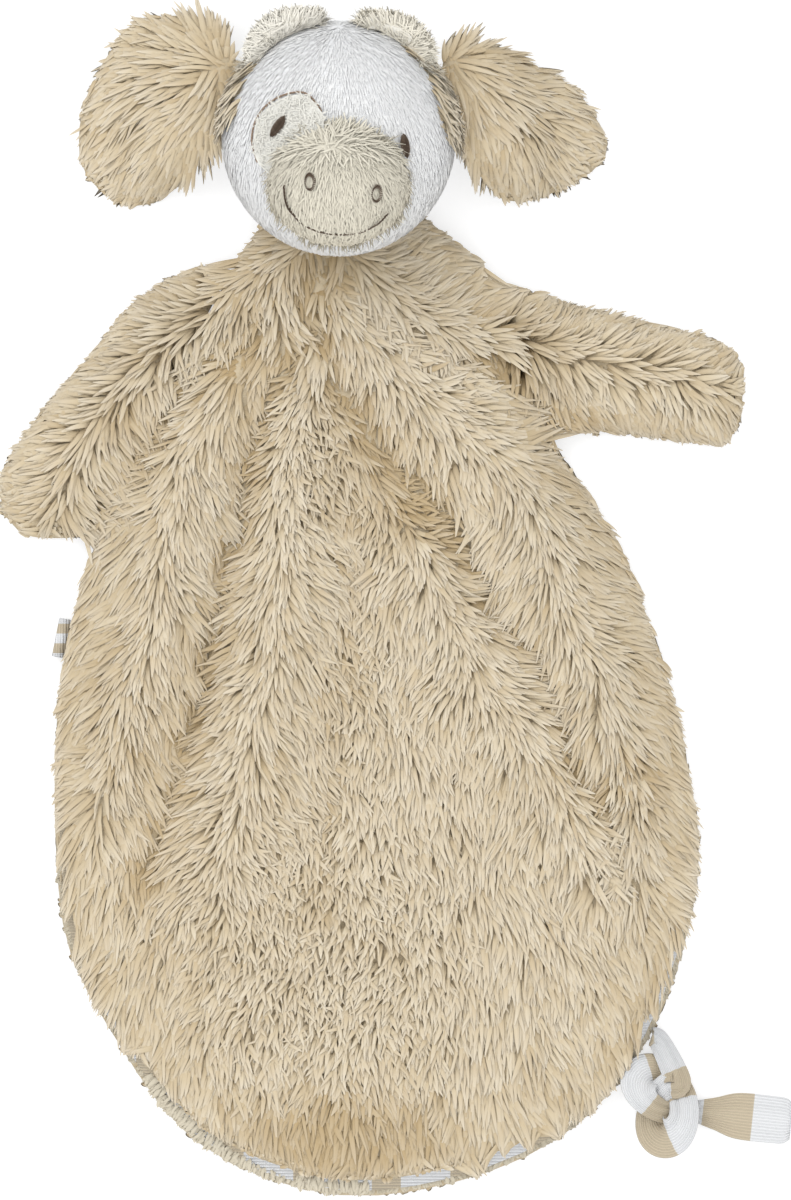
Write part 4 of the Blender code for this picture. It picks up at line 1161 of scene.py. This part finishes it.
def short_pile_on(name, obj, comb, seed, spacing, length, width, lean=1.2, inset=0.3 * MM,
                  keep=None, tone=0.6, spread=0.14, vary=0.07, thin=0.6, soft=0.75):
    """Short pile on a rounded piece, leaning along the comb."""
    rng = np.random.default_rng(seed)
    points, normals = surface_points(obj.data, spacing, rng)
    if keep is not None:
        wanted = keep(points, normals)
        points, normals = points[wanted], normals[wanted]
    number = len(points)
    lay = unit(comb(points)) + rng.normal(0, spread, (number, 3))
    lay = unit(lay - (lay * normals).sum(1, keepdims=True) * normals)
    size = length * rng.uniform(0.7, 1.2, number)
    lines = np.zeros((number, 3, 3))
    for index, step in enumerate((0.0, 0.5, 1.0)):
        out = math.cos(lean) * (1 - (1 - step) ** 1.8)
        along = math.sin(lean) * step ** 1.3
        lines[:, index] = (points + normals * (size * out - inset)[:, None]
                           + lay * (size * along)[:, None])
    tones = in_tone(tone + rng.normal(0, vary, number))
    widths = width * rng.uniform(0.7, 1.3, number)
    soft = soft * smooth(normals[:, 2] / 0.5 + 0.4)
    return tufts(name, lines, normals, widths, thin, tones, taper=(0.9, 1.0, 0.3), soft=soft)


def thinned(obj, inset):
    """Draws a cover's outer face in, to leave room for its pile."""
    co, normals = places_and_normals(obj.data)
    middle = (co.max(0) + co.min(0)) / 2
    outer = ((co - middle) * normals).sum(1) > 0
    co[outer] -= normals[outer] * inset
    put(obj.data.vertices, "co", co)
    obj.data.update()
    return obj


def on_head(piece, slot, material, node):
    link("head", slot, material, piece)
    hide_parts(node)
    return piece


def filling(name, node):
    """Loose wadding inside a cover."""
    wadding = kept("polyester_wadding", backing_material, (0.80, 0.80, 0.78), (0.93, 0.93, 0.92))
    piece = on_head(close_up(node_copy(node, name)), "wadding", wadding, node)


def small_cover(name, node, slot, material, inset):
    """The muzzle's or a horn's plush, drawn in to leave room for its pile."""
    skin = on_head(thinned(close_up(node_copy(node, name)), inset), slot, material, node)
    return skin


class COMFORTER_OT_head(bpy.types.Operator):
    """Stuffed head of short white plush"""
    bl_idname = "comforter.head"
    bl_label = "Head"

    def execute(self, context):
        s = settings()
        white = colours().white
        centre, half = node_ball("head_cover")
        skin = on_head(head_ball("head_plush", centre, half - 0.7 * MM), "white_plush",
                       skin_material("white_backing", white), "head_cover")
        brow = centre + half * (0, 0.75, 0.3)
        pile = short_pile_on("head_pile", skin, lambda points: points - brow + (0, -6 * MM, 0),
                             61, s.short_spacing, 1.3 * s.short_length, 0.42 * MM, lean=1.42,
                             inset=0.1 * MM, keep=clear_of_eyes(centre, half), spread=0.10,
                             vary=0.04, thin=0.25, soft=0.95)
        link("head", "white_plush", short_material("white_short_pile", white), *pile)
        filling("head_stuffing", "head_filling")
        return {"FINISHED"}


class COMFORTER_OT_muzzle(bpy.types.Operator):
    """Stuffed muzzle of stone coloured plush"""
    bl_idname = "comforter.muzzle"
    bl_label = "Muzzle"

    def execute(self, context):
        s = settings()
        stone = colours().stone
        centre, half = node_ball("muzzle_cover")
        head, head_half = node_ball("head_cover")
        skin = small_cover("muzzle_plush", "muzzle_cover", "stone_plush",
                           skin_material("stone_backing", stone), 1.0 * MM)
        bridge = centre + half * (-0.1, 0.62, 0.4)

        def outside(points, normals):
            away = (points - head) / (head_half - 1.0 * MM)
            return ((away ** 2).sum(1) > 1) & (((points - centre) * normals).sum(1) > 0)

        def high(points, normals):
            up = (points[:, 1] - centre[1]) / half[1]
            front = points[:, 2] > head[2] + 0.3 * head_half[2]
            return outside(points, normals) & (up > 0.45) & front

        def brushed(points):
            """Up from the bridge above it and down below it."""
            parting = 1.2 * MM * np.sin(points[:, :1] / (3 * MM))
            return (points - bridge) * (0.45, 1.0, 0.6) + parting * (0, 1, 0)

        pile = short_pile_on("muzzle_pile", skin, brushed, 62, 0.9 * s.short_spacing,
                             1.7 * s.short_length, 0.5 * MM, lean=1.36, keep=outside,
                             spread=0.26, vary=0.08, thin=0.3, soft=0.9, tone=0.66)
        pile += short_pile_on("muzzle_ruff", skin, brushed, 67, 1.5 * s.short_spacing,
                              2.3 * s.short_length, 0.55 * MM, lean=1.22, keep=high,
                              spread=0.45, vary=0.06, thin=0.3, soft=0.95, tone=0.92)
        link("head", "stone_plush", short_material("stone_short_pile", stone), *pile)
        filling("muzzle_stuffing", "muzzle_filling")
        return {"FINISHED"}


# Embroidery

def dome(xy, centre, half, lift):
    """Places over a rounded piece, lift above it, with the way out of it there."""
    away = (xy - centre[:2]) / half[:2]
    up = np.sqrt(np.maximum(1 - (away ** 2).sum(1), 0.02))
    points = np.column_stack([xy, centre[2] + half[2] * up])
    out = unit((points - centre) / half ** 2)
    return points + out * np.reshape(lift, (-1, 1)), out


def stitches(name, starts, ends, ball, width, lift, crown, tones):
    """Straight stitches over a rounded piece, each a crowned thread from start to end."""
    steps = np.linspace(0, 1, len(THREAD_WIDTHS))
    lines = np.stack([dome(starts + (ends - starts) * step, *ball,
                           lift + crown * math.sin(math.pi * step))[0] for step in steps], 1)
    outs = dome((starts + ends) / 2, *ball, 0)[1]
    return tufts(name, lines, outs, np.full(len(starts), width), 0.8, in_tone(tones), sides=6,
                 taper=THREAD_WIDTHS)


def oval_frame(shares, tilt, ball):
    """An oval's middle on a rounded piece, and the ways along and across it."""
    turn = math.radians(tilt)
    along = np.array((math.cos(turn), math.sin(turn)))
    centre, half = ball
    return centre[:2] + np.array(shares) * half[:2], along, np.array((-along[1], along[0]))


def satin_oval(name, shares, tilt, length, width, ball, lift, rng):
    """An oval filled with slanting satin stitches."""
    middle, along, across = oval_frame(shares, tilt, ball)
    rows = np.linspace(-0.94, 0.94, 19)
    base = middle + rows[:, None] * along * length / 2
    beside = across * (np.sqrt(1 - rows ** 2) * width / 2)[:, None]
    slant = 0.16 * width * along
    tones = rng.normal(0.3, 0.12, len(rows))
    return stitches(name, base - beside - slant, base + beside + slant, ball, 0.46 * MM, lift,
                    0.45 * MM, tones)


def satin_ring(name, shares, tilt, length, width, ball, lift, rng):
    """A ring of short stitches round an oval, open in the middle."""
    middle, along, across = oval_frame(shares, tilt, ball)
    turn = np.linspace(0, 2 * math.pi, 26, endpoint=False)[:, None]
    rim = np.cos(turn) * along * length / 2 + np.sin(turn) * across * width / 2
    ends = middle + 0.62 * rim + 0.18 * (across - along) * MM
    tones = 0.5 + 0.4 * unit(rim)[:, 0] + rng.normal(0, 0.12, len(turn))
    return stitches(name, middle + rim, ends, ball, 0.36 * MM, lift, 0.2 * MM, tones)


def stem_line(name, shares, ball, lift, rng, tone, width=0.55 * MM, outward=0.0):
    """Overlapping slanting stitches along a line. lift and tone are read along it."""
    stride = 1.5 * MM
    centre, half = (part[:2] for part in ball)
    points = centre + np.array(shares) * half
    line = curve_through(points + unit(points - centre) * outward, 12)
    gone = run_of(line)
    places = np.arange(0, gone[-1] - stride, stride * 0.62)
    starts, ends = (np.column_stack([np.interp(at, gone, line[:, i]) for i in range(2)])
                    for at in (places, places + stride))
    side = unit(ends - starts)[:, ::-1] * (1, -1) * 0.14 * MM
    share = places / gone[-1]
    tones = tone(share) + rng.normal(0, 0.1, len(places))
    return stitches(name, starts - side, ends + side, ball, width, lift(share), 0.25 * MM, tones)


def clear_of_eyes(centre, half):
    """Keeps the pile off the embroidered eyes."""
    def keep(points, normals):
        wanted = np.ones(len(points), bool)
        for _, shares, tilt, _ in EYES:
            middle, along, across = oval_frame(shares, tilt, (centre, half))
            away = points[:, :2] - middle
            reach = np.hypot(away @ along / (EYE_LENGTH / 2), away @ across / (EYE_WIDTH / 2))
            wanted &= (reach > 0.8) | (points[:, 2] < centre[2])
        return wanted
    return keep


def smile_lift(share):
    """The smile sinks into the pile between its ends."""
    middle = smooth((share - 0.12) / 0.1) * smooth((0.92 - share) / 0.15)
    return (0.1 - 0.95 * middle) * MM


def smile_tone(share):
    return 0.15 + 0.8 * smooth((share - 0.12) / 0.2) * smooth((0.95 - share) / 0.15)


class COMFORTER_OT_face(bpy.types.Operator):
    """Eye patch, with the eyes, nostrils, mouth and patch edge in embroidery"""
    bl_idname = "comforter.face"
    bl_label = "Face"

    def execute(self, context):
        s = settings()
        rng = np.random.default_rng(64)
        head = centre, half = node_ball("head_cover")
        low_muzzle, muzzle_half = node_ball("muzzle_cover")
        rise = muzzle_half[2] - MUZZLE_DEPTH / 2
        muzzle = low_muzzle + (0, 0, rise), muzzle_half - (0, 0, rise)
        made = {}
        for satin, spots, ball, length, width in (
                (satin_oval, EYES, head, EYE_LENGTH, EYE_WIDTH),
                (satin_ring, NOSTRILS, muzzle, NOSTRIL_LENGTH, NOSTRIL_WIDTH)):
            for node, shares, tilt, lift in spots:
                made[node] = satin(node + "_stitches", shares, tilt, length, width, ball, lift, rng)
        made["mouth_line"] = stem_line("mouth_stitches", SMILE, muzzle, smile_lift, rng, smile_tone)
        made["patch_outline"] = stem_line(
            "patch_stitches", PATCH_ARC, head, lambda share: np.full(len(share), -0.1 * MM), rng,
            lambda share: np.full(len(share), 0.95), 0.5 * MM, outward=0.5 * MM)
        for node, pieces in made.items():
            # The patch's outline takes a paler thread.
            pale_outline = node == "patch_outline"
            thread = thread_material("faded_embroidery", 2.6) if pale_outline else thread_material()
            link("head", "brown_thread", thread, *pieces)
            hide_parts(node)
        patch = node_copy("eye_patch", "eye_patch_plush")
        drop = PATCH_DROP_SHARE * half[1]
        for vertex in patch.data.vertices:
            away = vertex.co - Vector(centre)
            slope = (half[2] / half[1]) ** 2 * away.y / away.z
            vertex.co += Vector((0, -drop, drop * slope))
        pale = colours().pale_cream
        on_head(patch, "cream_plush", skin_material("pale_cream_backing", pale), "eye_patch")
        root = np.array((centre[0] + 4 * MM, centre[1] - 6 * MM, 0))
        clear = clear_of_eyes(*head)
        pile = short_pile_on("eye_patch_pile", patch, lambda points: points - root, 63,
                             s.short_spacing, 1.1 * s.short_length, 0.36 * MM, spread=0.3,
                             keep=lambda p, n: (n[:, 2] > 0.3) & clear(p, n))
        link("head", "cream_plush", short_material("pale_cream_pile", pale), *pile)
        return {"FINISHED"}


class COMFORTER_OT_horns(bpy.types.Operator):
    """Two small stuffed horns"""
    bl_idname = "comforter.horns"
    bl_label = "Horns"

    def execute(self, context):
        s = settings()
        for side, seed in (("left", 71), ("right", 72)):
            node = "horn_" + side
            skin = small_cover(node + "_plush", node, "cream_plush",
                               skin_material("cream_backing", colours().cream), 0.8 * MM)
            root = node_ball(node)[0] - (0, 5 * MM, 0)
            pile = short_pile_on(node + "_pile", skin, lambda points: points - root, seed,
                                 0.9 * s.short_spacing, 1.7 * s.short_length, 0.5 * MM,
                                 lean=1.36, spread=0.3, vary=0.06, thin=0.3, soft=0.95)
            link("head", "cream_plush", horn_pile(side), *pile)
            filling(node + "_stuffing", node + "_filling")
        return {"FINISHED"}


class COMFORTER_OT_fluff(bpy.types.Operator):
    """Longer beige pile on the head between each horn and ear, and wisps on the horns"""
    bl_idname = "comforter.fluff"
    bl_label = "Ear root pile"

    def execute(self, context):
        centre, half = node_ball("head_cover")

        def out(points):
            return (points - centre) * (1.0, 0.2, 0.3) - np.array((0, 9 * MM, 0))

        def sides(points, normals):
            return (normals[:, 2] > -0.2) & (np.abs(points[:, 0] - centre[0]) > 0.42 * half[0])

        for side, line, reach, seed in EAR_ROOTS:
            def near(points, normals):
                close = nearest_on(line, points[:, :2])[0] < reach * MM
                return close & (points[:, 2] > 0.55 * centre[2])

            pile = short_pile_on(f"ear_root_{side}_pile", bpy.data.objects["head_plush"], out,
                                 seed, 1.25 * MM, 8.0 * MM, settings().tuft_width, lean=1.36,
                                 keep=near, spread=0.2, vary=0.10, thin=0.4, soft=0.85, tone=0.92)
            link("head", "beige_plush", long_pile(), *pile)
            wisps = short_pile_on(f"horn_{side}_wisps", bpy.data.objects[f"horn_{side}_plush"],
                                  out, seed + 10, 1.0 * MM, 4.5 * MM, 0.5 * MM, lean=1.38,
                                  keep=sides, spread=0.3, vary=0.05, thin=0.4, soft=0.95)
            link("head", "cream_plush", horn_pile(side), *wisps)
        return {"FINISHED"}


# Tie and side loop

def tie_route():
    """Places and widths of the tie from the hem, round its overhand knot, to its end."""
    hang, turn, away = (Vector((math.cos(math.radians(a)), math.sin(math.radians(a)), 0))
                        for a in (KNOT_DIRECTION, KNOT_OPEN_ANGLE, TAIL_DIRECTION))
    middle = Vector((TIE_START.x, TIE_START.y, TIE_LOW + KNOT_LIFT))
    middle += hang * (STEM_LENGTH + KNOT_LOOP)
    inward, across = -turn, Vector((-turn.y, turn.x, 0))
    root = TIE_START + TIE_OUTWARD * 0.3 * MM
    route = [(root, STEM_WIDTH), (root + TIE_OUTWARD * (STEM_WIDTH / 2), STEM_WIDTH)]
    first, last = 180 + KNOT_OPENING, 540 - KNOT_OPENING
    for step in range(KNOT_STEPS + 1):
        way = math.radians(first + (last - first) * step / KNOT_STEPS)
        place = (middle + inward * (KNOT_LOOP * (math.cos(way) - 2 * math.cos(2 * way)))
                 + across * (KNOT_LOOP * (math.sin(way) + 2 * math.sin(2 * way)))
                 - Vector((0, 0, KNOT_LIFT * math.sin(3 * way))))
        lobe = ((1 - math.cos(3 * way)) / 2) ** 2
        route.append((place, KNOT_WIDTH + (LOBE_WIDTH - KNOT_WIDTH) * lobe))
    leaving = Vector((place.x, place.y, TIE_LOW))
    for share in TAIL_SHARES:
        spread = float(smooth(share / TAIL_SHARES[1]))
        route.append((leaving + away * (TAIL_LENGTH * share),
                      KNOT_WIDTH + (TIE_WIDTH - KNOT_WIDTH) * spread))
    return route


def flattened(wave, power):
    """A round wave with its crests broadened, keeping its sign."""
    return np.sign(wave) * np.abs(wave) ** power


class COMFORTER_OT_tie(bpy.types.Operator):
    """Striped jersey tie, gathered into its overhand knot and flat in its tail"""
    bl_idname = "comforter.tie"
    bl_label = "Jersey tie"

    def execute(self, context):
        line = curve_through([(*place, width) for place, width in tie_route()], 10)
        places, widths = line[:, :3], line[:, 3]
        ahead = unit(np.gradient(places, axis=0))
        length = run_of(places)
        share, from_end = length / length[-1], length[-1] - length
        fuller = TIE_FULLNESS * np.sin(math.pi * np.clip(share / 0.75, 0, 1)) ** 0.5
        widths = (widths + fuller) * (1 - 0.22 * smooth(1 - from_end / (2.0 * MM)))
        knotted = np.sin(math.pi * np.clip((share - 0.08) / 0.6, 0, 1))
        turn = 2 * math.pi * (np.arange(TIE_AROUND) + 0.5) / TIE_AROUND
        flat, tall = flattened(np.cos(turn), 0.6), flattened(np.sin(turn), 0.8)
        beside = unit(np.cross(ahead, (0, 0, 1)))
        above = unit(np.cross(beside, ahead))
        gathered = smooth((TIE_WIDTH - widths) / (TIE_WIDTH - KNOT_WIDTH))
        # Ribs all along, pleats where the cloth is gathered, and a ripple where it is flat
        ribs = 0.10 * MM * np.cos(2 * math.pi * (flat[None] * TIE_WIDTH / 2) / RIB_PITCH)
        slow = 0.6 * np.sin(length / (6 * MM))[:, None]
        pleats = 0.32 * MM * np.cos(2 * math.pi * flat * 1.6 + slow)
        ripple = 0.30 * MM * np.sin(length / (3.1 * MM))[:, None] * (1 - np.abs(flat)) ** 0.5
        swell = (ribs * np.sign(tall) + gathered[:, None] * pleats * np.sign(tall)
                 + (1 - gathered)[:, None] * ripple)
        half_high = TIE_THICKNESS / 2 * (0.84 - 0.12 * (1 - gathered)) + 0.7 * MM * knotted
        out = flat[None] * (widths / 2)[:, None]
        up = tall[None] * half_high[:, None] + swell * np.abs(tall) ** 0.5
        verts = (places[:, None] + beside[:, None] * out[..., None]
                 + above[:, None] * up[..., None])
        verts[..., 2] = np.maximum(verts[..., 2], 0.15 * MM)

        # Each face's corners as ring and step, which goes on past the last one for the map
        rings = range(len(line) - 1)
        corners = [[(r, s), (r, s + 1), (r + 1, s + 1), (r + 1, s)]
                   for r in rings for s in range(TIE_AROUND)]
        corners += [[(0, s) for s in reversed(range(TIE_AROUND))],
                    [(len(rings), s) for s in range(TIE_AROUND)]]
        tie = mesh_object("tie_cloth", verts.reshape(-1, 3),
                          [[r * TIE_AROUND + s % TIE_AROUND for r, s in face] for face in corners])
        cloth = tie.data.attributes.new("cloth_mm", "FLOAT_VECTOR", "POINT")
        drawn = 9.5 * MM * smooth((from_end - 25 * MM) / (8 * MM))
        drawn += 12 * MM * smooth((20 * MM - length) / (6 * MM))
        along = np.repeat(-(from_end + drawn) / MM, TIE_AROUND)
        across = np.tile(flat * TIE_WIDTH / 2 / MM, len(line))
        put(cloth.data, "vector", np.stack([along, across, 0 * along], 1))
        spots = np.array([(s / TIE_AROUND, r / len(rings)) for face in corners for r, s in face])
        put(tie.data.uv_layers.new(name=UV_NAME).uv, "vector", 0.01 + 0.98 * spots)
        close_up(tie, weld=False)
        jersey = knit_material("tie_jersey", True, 25.0, False, 26.0, 0.54)
        link("tie", "striped_jersey", jersey, tie)
        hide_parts("jersey_tie")
        return {"FINISHED"}


class COMFORTER_OT_side_loop(bpy.types.Operator):
    """Small loop of striped jersey in the side seam"""
    bl_idname = "comforter.side_loop"
    bl_label = "Side loop"

    def execute(self, context):
        material = knit_material("loop_jersey", False, -19.0, True, 5.5, 0.5)
        loop = jersey_cloth("side_loop", material)
        return {"FINISHED"}


STEPS = (COMFORTER_OT_stage, COMFORTER_OT_back, COMFORTER_OT_linings, COMFORTER_OT_front,
         COMFORTER_OT_arms, COMFORTER_OT_ears, COMFORTER_OT_head, COMFORTER_OT_muzzle,
         COMFORTER_OT_face, COMFORTER_OT_horns, COMFORTER_OT_fluff, COMFORTER_OT_tie,
         COMFORTER_OT_side_loop)


class COMFORTER_PT_panel(bpy.types.Panel):
    """Sizes, colours and pieces of the comfort blanket"""
    bl_idname = "COMFORTER_PT_panel"
    bl_label = "Comfort Blanket"
    bl_space_type = "VIEW_3D"
    bl_region_type = "UI"
    bl_category = "Comforter"

    def draw(self, context):
        layout = self.layout
        for group in (settings(), colours()):
            box = layout.box()
            for name in group.__annotations__:
                box.prop(group, name)
        for step in STEPS:
            layout.operator(step.bl_idname)


CLASSES = (ComforterSizes, ComforterColours, *STEPS, COMFORTER_PT_panel)


def register():
    for cls in CLASSES:
        bpy.utils.register_class(cls)
    bpy.types.Scene.comforter = bpy.props.PointerProperty(type=ComforterSizes)
    bpy.types.Scene.comforter_colours = bpy.props.PointerProperty(type=ComforterColours)


def unregister():
    del bpy.types.Scene.comforter
    del bpy.types.Scene.comforter_colours
    for cls in reversed(CLASSES):
        bpy.utils.unregister_class(cls)


def main():
    register()
    for step in STEPS:
        group, name = step.bl_idname.split(".")
        getattr(getattr(bpy.ops, group), name)()


if __name__ == "__main__":
    main()
